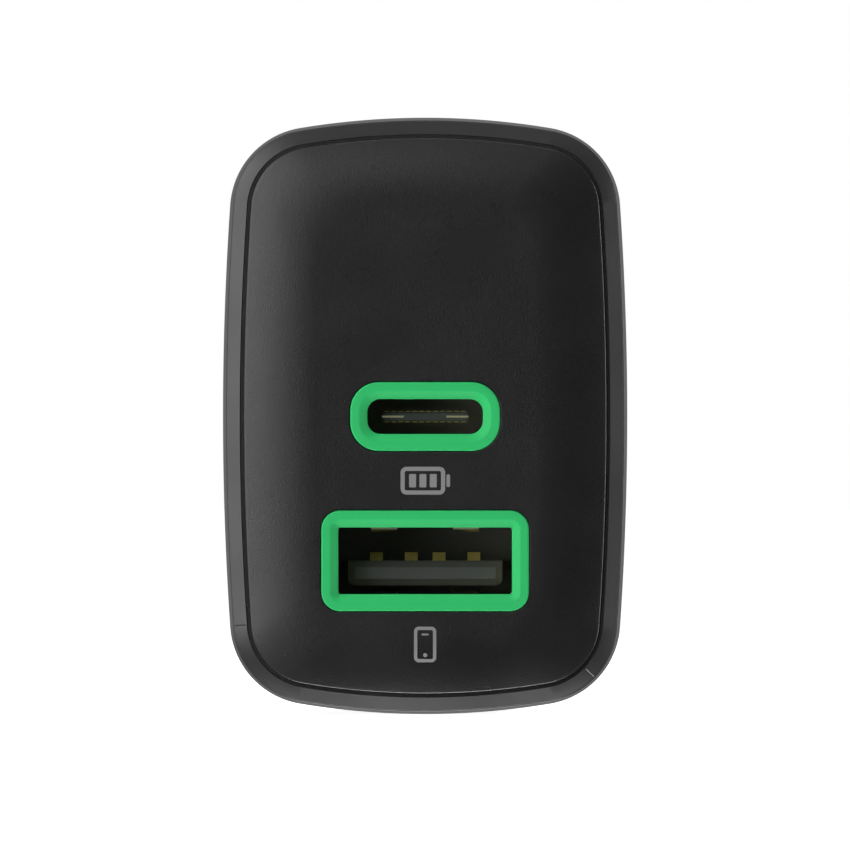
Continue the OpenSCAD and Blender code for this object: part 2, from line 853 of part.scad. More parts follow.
module transformer_primary_winding() {
    color([0.72, 0.38, 0.18]) tube_x(bobbin_r[1], primary_r, winding_x[0], winding_x[1]);
}

module transformer_secondary_winding() {
    color([0.85, 0.83, 0.75]) tube_x(primary_r, secondary_r, winding_x[0], winding_x[1]);
}

module transformer_tape() {
    color([0.9, 0.72, 0.12]) tube_x(secondary_r, tape_r, winding_x[0] + 0.2, winding_x[1] - 0.2);
}

// ---------- capacitors and other parts on the main board ----------

// An electrolytic can: its sleeve rolls in over the top and is crimped near the bottom
module can(d, length) {
    r = d / 2;
    rotate([0, 90, 0])
        rotate_extrude()
            polygon([
                [0, 0.3], [r - 0.7, 0.3], [r - 0.7, 0], [r - 0.15, 0], [r, 0.15], [r, 1.5], [r - 0.35, 1.8],
                [r - 0.35, 2.2], [r, 2.5], [r, length - 0.35], [r - 0.35, length], [r - 1.2, length],
                [r - 1.2, length - 0.25], [0, length - 0.25]
            ]);
}

module bulk_capacitor(at) {
    color([0.12, 0.13, 0.2]) translate([part_base_x, at.x, at.y]) can(bulk_cap_d, bulk_cap_l);
}

module bulk_capacitor_a() { bulk_capacitor(bulk_a_at); }
module bulk_capacitor_b() { bulk_capacitor(bulk_b_at); }

// Bare aluminium ends with a cross-shaped vent pressed in
module bulk_capacitor_tops() {
    top_x = part_base_x + bulk_cap_l - 0.25;
    r = bulk_cap_d / 2 - 1.2;
    color([0.8, 0.8, 0.8])
        for (at = [bulk_a_at, bulk_b_at])
            difference() {
                rod_x(r, top_x, top_x + 0.2, at.x, at.y);
                for (turn = [0, 90])
                    translate([top_x + 0.1, at.x, at.y])
                        rotate([turn, 0, 0])
                            block([0, -0.15, -r * 0.7], [1, 0.15, r * 0.7]);
            }
}

// A polymer capacitor: an aluminium can on a rubber bung
module output_capacitor(at) {
    bung_t = 0.5;
    color([0.78, 0.78, 0.8])
        translate([part_base_x + bung_t, at.x, at.y])
            rotate([0, 90, 0])
                rotate_extrude()
                    polygon([
                        [0, 0], [output_cap_d / 2 - 0.1, 0], [output_cap_d / 2, 0.1],
                        [output_cap_d / 2, 1.2], [output_cap_d / 2 - 0.3, 1.45], [output_cap_d / 2, 1.7],
                        [output_cap_d / 2, output_cap_l - bung_t - 0.4],
                        [output_cap_d / 2 - 0.4, output_cap_l - bung_t], [0, output_cap_l - bung_t]
                    ]);
}

module output_capacitor_a() { output_capacitor(output_cap_at[0]); }
module output_capacitor_b() { output_capacitor(output_cap_at[1]); }

module output_capacitor_bungs() {
    color([0.15, 0.15, 0.15])
        for (at = output_cap_at) rod_x(output_cap_d / 2 - 0.4, part_base_x, part_base_x + 0.5, at.x, at.y);
}

// A box-shaped part with rounded upright edges, standing on the main board
module box_part(at, size, r) {
    translate([part_base_x, at.x, at.y])
        rotate([90, 0, 90])
            linear_extrude(size.x) polygon(rounded(box_corners([size.y, size.z]), r));
}

module x_capacitor() {
    color([0.85, 0.75, 0.2]) box_part(x_cap_at, [11, 5.2, 10.6], 0.4);
}

module input_fuse() {
    color([0.16, 0.14, 0.13]) box_part(fuse_at, [8, 4, 4.8], 0.3);
}

// A flat disc with rounded edges, standing on its rim
module disc_part(d, t) {
    r = d / 2;
    e = 0.7;
    rotate_extrude()
        polygon(concat(
            [[0, -t / 2], [r - e, -t / 2]],
            arc([r - e, -t / 2 + e], e, -90, 0, 4),
            [[r, t / 2 - e]],
            arc([r - e, t / 2 - e], e, 0, 90, 4),
            [[r - e, t / 2], [0, t / 2]]
        ));
}

module varistor() {
    color([0.15, 0.3, 0.6])
        translate([-5.6, varistor_at.x, varistor_at.y]) rotate([90, 0, 0]) disc_part(6, 3.4);
}

module y_capacitor() {
    color([0.2, 0.45, 0.75]) translate([-5.4, y_cap_at.x, y_cap_at.y]) disc_part(6.4, 3);
}

choke_x = -3.6;
choke_core_r = [2.5, 4.8];
choke_core_t = 4;
choke_wire_t = 0.5;

module choke_section(grow) {
    translate([choke_core_r[0] - grow, -choke_core_t / 2 - grow])
        square([choke_core_r[1] - choke_core_r[0] + 2 * grow, choke_core_t + 2 * grow]);
}

module choke_core() {
    color([0.22, 0.35, 0.24])
        translate([choke_x, choke_at.x, choke_at.y])
            rotate([90, 0, 0])
                rotate_extrude() choke_section(0);
}

// Two coils, each over a part of the ring
module choke_windings() {
    coil_angle = 128;
    t = choke_wire_t;
    color([0.75, 0.4, 0.18])
        translate([choke_x, choke_at.x, choke_at.y])
            rotate([90, 0, 0])
                for (start = [26, 206])
                    rotate([0, 0, start])
                        rotate_extrude(angle = coil_angle)
                            difference() {
                                choke_section(fit_gap + t);
                                choke_section(fit_gap);
                            }
}

// ---------- chips ----------

// A moulded package with bevelled sides, lying on the X = 0 plane and rising along +X, with feet on two sides
module chip(size, feet) {
    bevel = 0.2;
    foot_w = 0.4;
    pitch = size.z / feet;
    body_x = 0.1;
    module feet_row() {
        for (i = [0 : feet - 1])
            translate([0, 0, (i - (feet - 1) / 2) * pitch - foot_w / 2])
                linear_extrude(foot_w)
                    polygon([
                        [0, size.y / 2 + 0.7], [0.18, size.y / 2 + 0.7], [0.18, size.y / 2 + 0.2],
                        [size.x * 0.55, size.y / 2], [size.x * 0.35, size.y / 2], [0, size.y / 2 + 0.1]
                    ]);
    }
    loft_x = [[body_x, -bevel], [size.x / 2, 0], [size.x, -bevel]];
    rotate([0, 0, -90])
        loft([
            for (p = loft_x)
                at_y(rounded(box_corners(grown([size.y, size.z], p[1])), 0.15, 2), p[0])
        ]);
    if (feet > 0) {
        feet_row();
        mirror([0, 1, 0]) feet_row();
    }
}

// A chip on the lower face of the main board
module chip_below(at, size, feet) {
    translate([main_bottom_x, at.x, at.y]) mirror([1, 0, 0]) chip(size, feet);
}

// A chip on the front of the output board, at [x, z]
module chip_in_front(at, size, feet) {
    translate([at.x, output_front_y, at.y]) rotate([0, 0, -90]) chip(size, feet);
}

module bridge_rectifier() {
    color([0.14, 0.14, 0.14]) chip_below([-24.5, 0], [1.2, 2.4, 4.6], 2);
}

module primary_controller() {
    color([0.14, 0.14, 0.14]) chip_below([-34.9, -5.2], [1.25, 2.6, 4.9], 4);
}

module sync_rectifier() {
    color([0.14, 0.14, 0.14]) chip_below([-45.3, 9], [1, 3.4, 5], 4);
}

module optocoupler() {
    color([0.16, 0.16, 0.16])
        translate([main_top_x, -44.6, -14.5]) chip([2, 2.6, 3.4], 2);
}

module usb_c_controller() {
    color([0.14, 0.14, 0.14]) chip_in_front([-6.8, 5.6], [0.9, 3.4, 3.6], 0);
}

module buck_converter() {
    color([0.14, 0.14, 0.14]) chip_in_front([7.2, 5.6], [1.4, 2.6, 3.8], 4);
}

module buck_inductor() {
    color([0.25, 0.25, 0.26])
        slab(output_front_y - 3, output_front_y)
            translate([-3, 0]) rounded_box_2d([6.4, 6.4], 0.8, 11.2);
}

module port_capacitor() {
    color([0.78, 0.78, 0.8])
        translate([5.2, output_front_y, 11.6]) rotate([0, 0, -90]) can(output_cap_d, 7);
}

// Small two-ended parts: a body between two tinned ends, all one block
module chip_part_in_front(x, z, size) {
    translate([x - size.x / 2, output_front_y - size.y, z - size.z / 2]) cube(size);
}

module chip_part_below(y, z, size) {
    translate([main_bottom_x - size.y, y - size.x / 2, z - size.z / 2]) cube([size.y, size.x, size.z]);
}

module chip_resistors() {
    size = [1.6, 0.45, 0.8];
    color([0.1, 0.1, 0.1]) {
        for (i = [0 : 3]) chip_part_in_front(-10.1, 1.5 + 1.6 * i, size);
        for (i = [0 : 3]) chip_part_below(-31.4, -1.6 - 1.6 * i, size);
        for (i = [0 : 2]) chip_part_below(-48.4, -12.2 - 1.6 * i, size);
    }
}

module chip_capacitors() {
    size = [2, 1.2, 1.25];
    color([0.66, 0.55, 0.4]) {
        for (i = [0 : 2]) chip_part_in_front(10, 7.4 + 2 * i, [1.6, 0.8, 0.8]);
        for (x = [-1.4, 1.4]) chip_part_in_front(x, -4.6, size);
        for (i = [0 : 2]) chip_part_below(-33.5, 7 + 2 * i, size);
        for (i = [0 : 1]) chip_part_below(-41.3, -8.4 - 2 * i, size);
    }
}

// ---------- cooling and insulation ----------

cover_y = [output_back_y + 1.1, back_y - 6];

module heat_spreader() {
    color([0.75, 0.75, 0.77])
        across_x(0.8, 11.8)
            translate([(cover_y[0] + cover_y[1]) / 2, 0])
                polygon(rounded(box_corners([cover_y[1] - cover_y[0], 24]), 1));
}

module thermal_pad() {
    color([0.6, 0.65, 0.75]) block([core_top_x, -48.6, 5], [11.4, -34, 11.8]);
}

module insulation_sheet() {
    color([0.92, 0.9, 0.82])
        across_x(0.25, -12.125)
            translate([(cover_y[0] + cover_y[1]) / 2, 0])
                polygon(rounded(box_corners([cover_y[1] - cover_y[0], 24]), 1));
}

// ---------- all nodes ----------

housing_shell();
front_panel();
plug_base();
usb_c_bezel();
usb_a_bezel();
live_pin();
neutral_pin();
live_pin_sleeve();
neutral_pin_sleeve();
live_contact_strip();
neutral_contact_strip();
usb_a_shell();
usb_a_insulator();
usb_a_contacts();
usb_c_shell();
usb_c_insulator();
usb_c_mid_plate();
usb_c_upper_contacts();
usb_c_lower_contacts();
main_board();
output_board();
board_link_pins();
component_leads();
transformer_lower_core();
transformer_upper_core();
transformer_bobbin();
transformer_primary_winding();
transformer_secondary_winding();
transformer_tape();
transformer_pins();
bulk_capacitor_a();
bulk_capacitor_b();
bulk_capacitor_tops();
output_capacitor_a();
output_capacitor_b();
output_capacitor_bungs();
x_capacitor();
y_capacitor();
input_fuse();
varistor();
choke_core();
choke_windings();
bridge_rectifier();
primary_controller();
sync_rectifier();
optocoupler();
usb_c_controller();
buck_converter();
buck_inductor();
port_capacitor();
chip_resistors();
chip_capacitors();
heat_spreader();
thermal_pad();
insulation_sheet();
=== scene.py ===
import json
import math

import bmesh
import bpy
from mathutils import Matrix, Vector
from mathutils.geometry import intersect_line_line_2d


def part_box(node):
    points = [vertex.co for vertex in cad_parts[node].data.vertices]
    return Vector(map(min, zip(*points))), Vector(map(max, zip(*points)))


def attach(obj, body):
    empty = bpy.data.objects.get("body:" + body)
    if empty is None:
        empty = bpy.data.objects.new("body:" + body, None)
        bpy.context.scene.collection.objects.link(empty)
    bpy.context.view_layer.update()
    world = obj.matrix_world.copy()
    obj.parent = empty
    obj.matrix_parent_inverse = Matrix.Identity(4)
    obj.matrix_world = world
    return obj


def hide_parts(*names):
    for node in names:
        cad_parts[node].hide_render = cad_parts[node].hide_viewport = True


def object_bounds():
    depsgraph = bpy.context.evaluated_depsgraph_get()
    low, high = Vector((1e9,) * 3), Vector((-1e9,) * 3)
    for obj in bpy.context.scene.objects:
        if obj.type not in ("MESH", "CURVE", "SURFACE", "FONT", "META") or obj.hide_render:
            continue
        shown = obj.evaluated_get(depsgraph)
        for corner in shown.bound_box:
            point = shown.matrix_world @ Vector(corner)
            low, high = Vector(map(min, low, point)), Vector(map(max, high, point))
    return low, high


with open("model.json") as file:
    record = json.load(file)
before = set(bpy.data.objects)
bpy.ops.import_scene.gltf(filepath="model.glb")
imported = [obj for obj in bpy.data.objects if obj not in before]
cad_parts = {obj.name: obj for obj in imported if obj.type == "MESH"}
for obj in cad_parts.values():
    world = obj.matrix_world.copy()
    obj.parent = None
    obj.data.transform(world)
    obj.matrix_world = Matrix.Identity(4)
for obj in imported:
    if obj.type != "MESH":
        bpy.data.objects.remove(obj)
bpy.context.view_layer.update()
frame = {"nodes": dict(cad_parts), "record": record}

# ---------------------------------------------------------------- sizes
# Shapes are worked out in millimetres and written to the meshes in metres.
MM = 0.001


def box_mm(node):
    """The lowest and highest corner of a CAD node, in millimetres."""
    low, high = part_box(node)
    return low / MM, high / MM


housing_low, housing_high = box_mm("housing_shell")
panel_low = box_mm("front_panel")[0]
ring_c_low, ring_c_high = box_mm("usb_c_bezel")
ring_a_low, ring_a_high = box_mm("usb_a_bezel")
plug_low = box_mm("plug_base")[0]
pin_low, pin_high = box_mm("live_pin")
sleeve_low, sleeve_high = box_mm("live_pin_sleeve")

BODY_W = housing_high.x - housing_low.x
BODY_H = housing_high.z - housing_low.z
FACE_Y = panel_low.y
BACK_Y = housing_high.y
SIDE_R, TOP_R, CORNER_R = 223, 55, 6
WALL = 1.7

# The rim round the panel
EDGE_INSET = 0.35
BEVEL_W, BEVEL_D = 0.93, 0.57
LEDGE_INSET, LEDGE_W = 0.315, 0.065
SIDE_INSET, SIDE_START = 0.22, 0.5
GROOVE_W = 0.27
CROWN_D = 0.9
LIP_INSET = EDGE_INSET + BEVEL_W
PANEL_INSET = LIP_INSET + GROOVE_W
LIP_Y = FACE_Y + CROWN_D + 0.13
EDGE_Y = LIP_Y + BEVEL_D
BEVEL_FOOT = (EDGE_Y - 0.02, LEDGE_INSET + 0.015)
SIDE_START_Y = EDGE_Y + SIDE_START
WIDEST_Y = FACE_Y + 9
SEAT_Y = FACE_Y + 4.5
GROOVE_FLOOR_Y = FACE_Y + CROWN_D + 0.24
SHOULDER_R, SHOULDER_INSET = 2.8, 0.42
BACK_WALL_T = 1.8
INNER_BACK_Y = BACK_Y - BACK_WALL_T

# The panel
FLAT_W, FLAT_H = 15.8, 31.4
PANEL_BACK_Y = FACE_Y + 2
PANEL_EDGE_R = 0.08
FIT_GAP = 0.05
SKIRT_GAP = 0.005
SKIRT_INSET = LIP_INSET + SKIRT_GAP
SKIRT_T = 1

# The ports
RING_W = 1.22
RING_FLANGE_W, RING_FLANGE_T = 0.8, 0.8
RING_GAP = 0.06
RING_LEAD_IN_W, RING_LEAD_IN_D = 0.58, 0.4
RING_FRONT_Y = ring_c_low.y
SHELL_FRONT_Y = FACE_Y + 1.7
SHELL_POCKET = 0.55


def port_from(low, high, open_r, ring_r):
    """A port's middle and mouth, from the box of its ring with the flange behind it."""
    rim = 2 * (RING_W + RING_FLANGE_W)
    return {"z": (low.z + high.z) / 2, "open": (high.x - low.x - rim, high.z - low.z - rim),
            "open_r": open_r, "ring_r": ring_r}


USB_C = port_from(ring_c_low, ring_c_high, 0.95, 2.05)
USB_A = port_from(ring_a_low, ring_a_high, 0.15, 1.36)

# The plug
PIN_Z = (pin_low.z + pin_high.z) / 2
PIN_R = 2.0
PIN_CORE_R = 1.5
SLEEVE_R = (sleeve_high.x - sleeve_low.x) / 2
SLEEVE_END_Y = sleeve_high.y
PIN_END_Y = pin_high.y
NECK_END = (13.7, 35.3)
NECK_ROOT = (14.1, 35.8)
NECK_FRONT_Y = plug_low.y
NECK_WALL_T = 1.6
NECK_FLANGE_W = 0.7
PLUG_WALL_T = 3.5
PLUG_END_R = 0.6
SLEEVE_ROOT_Y = -1.6
PIN_COLLAR = {"y": (-3.2, -1.6), "r": 2.5, "chamfer": 0.08}
PIN_ROOT_R = 1.75
ROUND_STEPS = 96


# ---------------------------------------------------------------- outlines
def arc(centre, r, start, end, steps):
    """Points of an arc in degrees, without its last one."""
    return [
        (centre[0] + r * math.cos(math.radians(start + (end - start) * i / steps)),
         centre[1] + r * math.sin(math.radians(start + (end - start) * i / steps)))
        for i in range(steps)
    ]


def outline_arcs():
    """Where the side, top and corner arcs of the body's outline have their centres, and the angles they meet at."""
    side_x, top_z = BODY_W / 2 - SIDE_R, BODY_H / 2 - TOP_R
    gap = math.hypot(side_x, top_z)
    to_side, to_top = SIDE_R - CORNER_R, TOP_R - CORNER_R
    along = (to_side**2 - to_top**2 + gap**2) / (2 * gap)
    across = math.sqrt(to_side**2 - along**2)
    ux, uz = -side_x / gap, top_z / gap
    corner = (side_x + ux * along - uz * across, uz * along + ux * across)
    side_angle = math.degrees(math.atan2(corner[1], corner[0] - side_x))
    top_angle = math.degrees(math.atan2(corner[1] - top_z, corner[0]))
    return side_x, top_z, corner, side_angle, top_angle


SIDE_X, TOP_Z, CORNER, SIDE_ANGLE, TOP_ANGLE = outline_arcs()


def body_outline(inset, side=20, corner=20, top=20):
    """The body's outline in (x, z), moved inwards by inset."""
    cx, cz = CORNER
    s, t = SIDE_ANGLE, TOP_ANGLE
    r_side, r_corner, r_top = SIDE_R - inset, CORNER_R - inset, TOP_R - inset
    return (
        arc((SIDE_X, 0), r_side, -s, s, side)
        + arc((cx, cz), r_corner, s, t, corner)
        + arc((0, TOP_Z), r_top, t, 180 - t, top)
        + arc((-cx, cz), r_corner, 180 - t, 180 - s, corner)
        + arc((-SIDE_X, 0), r_side, 180 - s, 180 + s, side)
        + arc((-cx, -cz), r_corner, 180 + s, 180 + t, corner)
        + arc((0, -TOP_Z), r_top, 180 + t, 360 - t, top)
        + arc((cx, -cz), r_corner, 360 - t, 360 - s, corner)
    )


def rounded(points, radii, steps=10):
    """A closed outline whose corners are rounded, each with its own radius."""
    out = []
    for i, p in enumerate(points):
        p = Vector(p)
        r = radii[i] if hasattr(radii, "__len__") else radii
        u = (Vector(points[i - 1]) - p).normalized()
        v = (Vector(points[(i + 1) % len(points)]) - p).normalized()
        if r <= 0:
            out.append(tuple(p))
            continue
        half = u.angle(v) / 2
        centre = p + (u + v).normalized() * r / math.sin(half)
        start = p + u * r / math.tan(half) - centre
        a = math.atan2(start.y, start.x)
        turn = math.pi - 2 * half
        if u.x * v.y - u.y * v.x > 0:
            turn = -turn
        out += [
            (centre.x + r * math.cos(a + turn * k / steps), centre.y + r * math.sin(a + turn * k / steps))
            for k in range(steps + 1)
        ]
    return out


def rounded_box(size, r, grow=0.0, steps=14):
    """A rectangle about the origin with round corners."""
    w, h = size[0] / 2 + grow, size[1] / 2 + grow
    return rounded([(w, -h), (w, h), (-w, h), (-w, -h)], r, steps)


def circle(r, steps=48):
    return arc((0, 0), r, 0, 360, steps)


def neck_outline(size, grow=0.0, r=1.4, steps=8):
    """The plug's section: a long box with its four corners cut off."""
    end_share, side_share, grow_share = 0.19, 0.365, 0.4
    w, h = size[0] / 2 + grow, size[1] / 2 + grow
    end_w = size[0] * end_share + grow * grow_share
    side_h = size[1] * side_share + grow * grow_share
    points = [(w, -side_h), (w, side_h), (end_w, h), (-end_w, h),
              (-w, side_h), (-w, -side_h), (-end_w, -h), (end_w, -h)]
    return rounded(points, r, steps)


def seen_along(outline, directions):
    """The outline's points in the given directions from the origin, so that two outlines can be joined."""
    out, beyond = [], 200
    for d in directions:
        far = Vector(d).normalized() * beyond
        for i, p in enumerate(outline):
            hit = intersect_line_line_2d((0, 0), far, outline[i - 1], p)
            if hit:
                out.append(tuple(hit))
                break
    return out


def at(outline, y, z=0.0):
    """A ring of points at depth y, raised by z."""
    return [(px, y, pz + z) for px, pz in outline]


def smoothed_profile(points, steps=6):
    """A profile of (y, distance, radius) with each corner rounded by its radius; its two ends stay."""
    flat = [(p[0], p[1]) for p in points]
    radii = [0] + [p[2] for p in points[1:-1]] + [0]
    return rounded(flat, radii, steps)


# ---------------------------------------------------------------- meshes
MERGE_DISTANCE = 1e-5
SHARP_ANGLE = 35.0
NORMAL_WEIGHT = 60


def finish_mesh(bm, name, weighted=True):
    """Turns a bmesh in millimetres into a piece that rides on the body."""
    bmesh.ops.remove_doubles(bm, verts=bm.verts, dist=MERGE_DISTANCE)
    bmesh.ops.recalc_face_normals(bm, faces=bm.faces)
    bmesh.ops.scale(bm, verts=bm.verts, vec=(MM, MM, MM))
    mesh = bpy.data.meshes.new(name)
    bm.to_mesh(mesh)
    bm.free()
    mesh.shade_smooth()
    mesh.set_sharp_from_angle(angle=math.radians(SHARP_ANGLE))
    piece = bpy.data.objects.new(name, mesh)
    bpy.context.scene.collection.objects.link(piece)
    if weighted:
        weigh_normals(piece)
    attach(piece, "root")
    return piece


def weigh_normals(piece):
    modifier = piece.modifiers.new("weighted", "WEIGHTED_NORMAL")
    modifier.keep_sharp = True
    modifier.weight = NORMAL_WEIGHT


def add_ring(bm, ring):
    return [bm.verts.new(p) for p in ring]


def bridge(bm, a, b):
    n = len(a)
    for i in range(n):
        bm.faces.new((a[i], a[(i + 1) % n], b[(i + 1) % n], b[i]))


def add_loft(bm, rings, closed=False):
    """Skins rings of equal length; closed joins the last ring to the first."""
    made = [add_ring(bm, ring) for ring in rings]
    for a, b in zip(made, made[1:]):
        bridge(bm, a, b)
    if closed:
        bridge(bm, made[-1], made[0])
    return made


def fill_between(bm, loops):
    """Fills the flat area between an outer loop and the holes in it."""
    edges = []
    for loop in loops:
        for i, v in enumerate(loop):
            e = bm.edges.get((v, loop[(i + 1) % len(loop)])) or bm.edges.new((v, loop[(i + 1) % len(loop)]))
            edges.append(e)
    bmesh.ops.triangle_fill(bm, use_beauty=True, use_dissolve=False, edges=edges)


def lathe(name, profile, z):
    """Turns a profile of (y, radius) round an axis along Y at height z, and closes both ends."""
    bm = bmesh.new()
    made = add_loft(bm, [at(circle(r, ROUND_STEPS), y, z) for y, r in profile])
    for loop in (made[0], made[-1]):
        bm.faces.new(loop)
    return finish_mesh(bm, name)


# ---------------------------------------------------------------- housing
def housing_profile():
    """The outer skin from the panel's seat, over the rim and its fine outer ledge, along the side to the back."""
    front = smoothed_profile([
        (SEAT_Y, LIP_INSET, 0),
        (LIP_Y, LIP_INSET, 0.03),
        (*BEVEL_FOOT, 0.01),
        (EDGE_Y + 0.04, LEDGE_INSET, 0.01),
        (EDGE_Y + 0.05, LEDGE_INSET - LEDGE_W, 0.05),
        (SIDE_START_Y, SIDE_INSET, 0),
    ])
    swell_steps, taper_steps, shoulder_steps = 14, 12, 15
    swell = [
        (SIDE_START_Y + (WIDEST_Y - SIDE_START_Y) * (i / swell_steps), SIDE_INSET * (1 - i / swell_steps) ** 2)
        for i in range(1, swell_steps + 1)
    ]
    shoulder_y = BACK_Y - SHOULDER_R
    taper = [
        (WIDEST_Y + (shoulder_y - WIDEST_Y) * i / taper_steps, SHOULDER_INSET * (i / taper_steps) ** 2)
        for i in range(1, taper_steps)
    ]
    shoulder = [
        (shoulder_y + SHOULDER_R * math.sin(a), SHOULDER_INSET + SHOULDER_R * (1 - math.cos(a)))
        for a in (math.radians(90 * k / shoulder_steps) for k in range(shoulder_steps + 1))
    ]
    return front + swell + taper + shoulder


def build_housing():
    """The hollow shell: outer skin, back with the plug's hole, and inner skin."""
    bm = bmesh.new()
    directions = body_outline(WALL + 3)
    flat_inset = SHOULDER_INSET + SHOULDER_R + 0.6
    hole = [(BACK_Y, 0.32), (BACK_Y, 0.22), (BACK_Y - 0.05, 0.1), (BACK_Y - 0.17, FIT_GAP), (INNER_BACK_Y, FIT_GAP)]
    inner_skin = [(INNER_BACK_Y, WALL + 0.7), (INNER_BACK_Y - 1, WALL), (SEAT_Y, WALL)]
    rings = [at(body_outline(inset), y) for y, inset in housing_profile() + [(BACK_Y, flat_inset)]]
    rings += [at(seen_along(neck_outline(NECK_ROOT, grow), directions), y) for y, grow in hole]
    rings += [at(body_outline(inset), y) for y, inset in inner_skin]
    add_loft(bm, rings, closed=True)
    piece = finish_mesh(bm, "housing")
    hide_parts("housing_shell")
    return piece


# Fine steps across the rim's bevel: the centre and radius of the outline's arc, degrees round it, and width
MOULD_LINES = {
    "mould_line_left": ((-SIDE_X, 0), SIDE_R, 183.88, 0.1),
    "mould_line_right": ((CORNER[0], -CORNER[1]), CORNER_R, 316, 0.045),
}
MOULD_LINE_RISE, MOULD_LINE_SUNK = 0.43, 0.01
MOULD_LINE_INSETS = (0.37, 1.14)


def bevel_at(centre, r, turn, inset):
    """The point of the rim's bevel that lies inset from the outline."""
    foot_y, foot_inset = BEVEL_FOOT
    y = LIP_Y + (foot_y - LIP_Y) * (LIP_INSET - inset) / (LIP_INSET - foot_inset)
    return Vector((centre[0], y, centre[1])) + Vector((math.cos(turn), 0, math.sin(turn))) * (r - inset)


def build_mould_line(name):
    """A fine step across the rim's bevel; its wide face looks down."""
    centre, r, degrees, width = MOULD_LINES[name]
    turn = math.radians(degrees)
    ends = [bevel_at(centre, r, turn, inset) for inset in MOULD_LINE_INSETS]
    down = Vector((-math.sin(turn), 0, math.cos(turn)))
    down = -down if down.z > 0 else down
    out = (ends[1] - ends[0]).normalized().cross(down)
    out = -out if out.y > 0 else out
    section = [(-width / 2 - MOULD_LINE_SUNK, -MOULD_LINE_SUNK), (-width / 2, width * MOULD_LINE_RISE),
               (width / 2, -MOULD_LINE_SUNK)]
    bm = bmesh.new()
    for loop in add_loft(bm, [[end + down * a + out * b for a, b in section] for end in ends]):
        bm.faces.new(loop)
    piece = finish_mesh(bm, name, weighted=False)
    return piece


# ---------------------------------------------------------------- front panel
def crown_ring(step):
    """One ring of the crowned front: step 0 is the panel's edge and step 1 its flat middle."""
    kx = 1 - step * (1 - FLAT_W / (BODY_W - 2 * PANEL_INSET))
    kz = 1 - step * (1 - FLAT_H / (BODY_H - 2 * PANEL_INSET))
    y = FACE_Y + CROWN_D * (1 - step) ** 2
    return [(x * kx, y, z * kz) for x, z in body_outline(PANEL_INSET)]


def port_outline(port, grow, r):
    return rounded_box(port["open"], r, grow)


def build_panel():
    """The crowned front with its groove and skirt, and a hole for each port's ring."""
    bm = bmesh.new()
    edge_y = FACE_Y + CROWN_D
    steps = 22
    rings = [crown_ring(1 - i / steps) for i in range(steps)]
    side = smoothed_profile([
        (edge_y - 0.12, PANEL_INSET + 0.3, 0),
        (edge_y, PANEL_INSET, PANEL_EDGE_R),
        (GROOVE_FLOOR_Y, PANEL_INSET, 0),
        (GROOVE_FLOOR_Y, SKIRT_INSET, 0.01),
        (SEAT_Y - FIT_GAP, SKIRT_INSET, 0.08),
        (SEAT_Y - FIT_GAP, SKIRT_INSET + SKIRT_T, 0.08),
        (PANEL_BACK_Y, SKIRT_INSET + SKIRT_T, 0),
    ])
    rings += [at(body_outline(inset), y) for y, inset in side[1:]]
    made = add_loft(bm, rings)
    fronts, backs = [made[0]], [made[-1]]
    for port in (USB_C, USB_A):
        grow, r = RING_W + RING_GAP, port["ring_r"] + RING_GAP
        profile = smoothed_profile([
            (FACE_Y, 0.05, 0), (FACE_Y, 0, 0.04), (PANEL_BACK_Y, 0, 0)], 4)
        hole = add_loft(bm, [at(port_outline(port, grow + g, r + g), y, port["z"]) for y, g in profile])
        fronts.append(hole[0])
        backs.append(hole[-1])
    fill_between(bm, fronts)
    fill_between(bm, backs)
    piece = finish_mesh(bm, "face_panel")
    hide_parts("front_panel")
    return piece


# ---------------------------------------------------------------- coloured rings
def build_port_ring(name, node, port):
    """A closed section carried round the port's mouth: lead-in, flat front, outer wall and hidden flange."""
    back_y = PANEL_BACK_Y
    section = [
        (SHELL_FRONT_Y - FIT_GAP, 0, 0.02),
        (RING_FRONT_Y + RING_LEAD_IN_D, 0, 0.06),
        (RING_FRONT_Y, RING_LEAD_IN_W, 0.3),
        (RING_FRONT_Y, RING_W, 0.13),
        (back_y, RING_W, 0),
        (back_y, RING_W + RING_FLANGE_W, 0.05),
        (back_y + RING_FLANGE_T, RING_W + RING_FLANGE_W, 0.05),
        (back_y + RING_FLANGE_T, SHELL_POCKET, 0.05),
        (SHELL_FRONT_Y - FIT_GAP, SHELL_POCKET, 0),
    ]
    flat = [(p[0], p[1]) for p in section]
    profile = rounded(flat, [p[2] for p in section], 8)
    r_rate = (port["ring_r"] - port["open_r"]) / RING_W
    bm = bmesh.new()
    rings = [at(port_outline(port, g, port["open_r"] + g * r_rate), y, port["z"]) for y, g in profile]
    add_loft(bm, rings, closed=True)
    piece = finish_mesh(bm, name)
    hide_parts(node)
    return piece


# ---------------------------------------------------------------- plug
def plug_rings():
    """The plug's outer skin: flange inside the housing, tapering neck and rounded end."""
    rings = [
        at(neck_outline(NECK_ROOT, -NECK_WALL_T), NECK_FRONT_Y),
        at(neck_outline(NECK_ROOT, NECK_FLANGE_W), NECK_FRONT_Y),
        at(neck_outline(NECK_ROOT, NECK_FLANGE_W), INNER_BACK_Y - FIT_GAP),
        at(neck_outline(NECK_ROOT), INNER_BACK_Y - FIT_GAP),
    ]
    taper_steps, end_steps = 12, 8
    for i in range(1, taper_steps):
        t = i / taper_steps
        size = [a + (b - a) * t for a, b in zip(NECK_ROOT, NECK_END)]
        rings.append(at(neck_outline(size), INNER_BACK_Y + (-PLUG_END_R - INNER_BACK_Y) * t))
    for k in range(end_steps + 1):
        a = math.radians(90 * k / end_steps)
        pulled_in = neck_outline(NECK_END, -PLUG_END_R * (1 - math.cos(a)))
        rings.append(at(pulled_in, -PLUG_END_R + PLUG_END_R * math.sin(a)))
    return rings


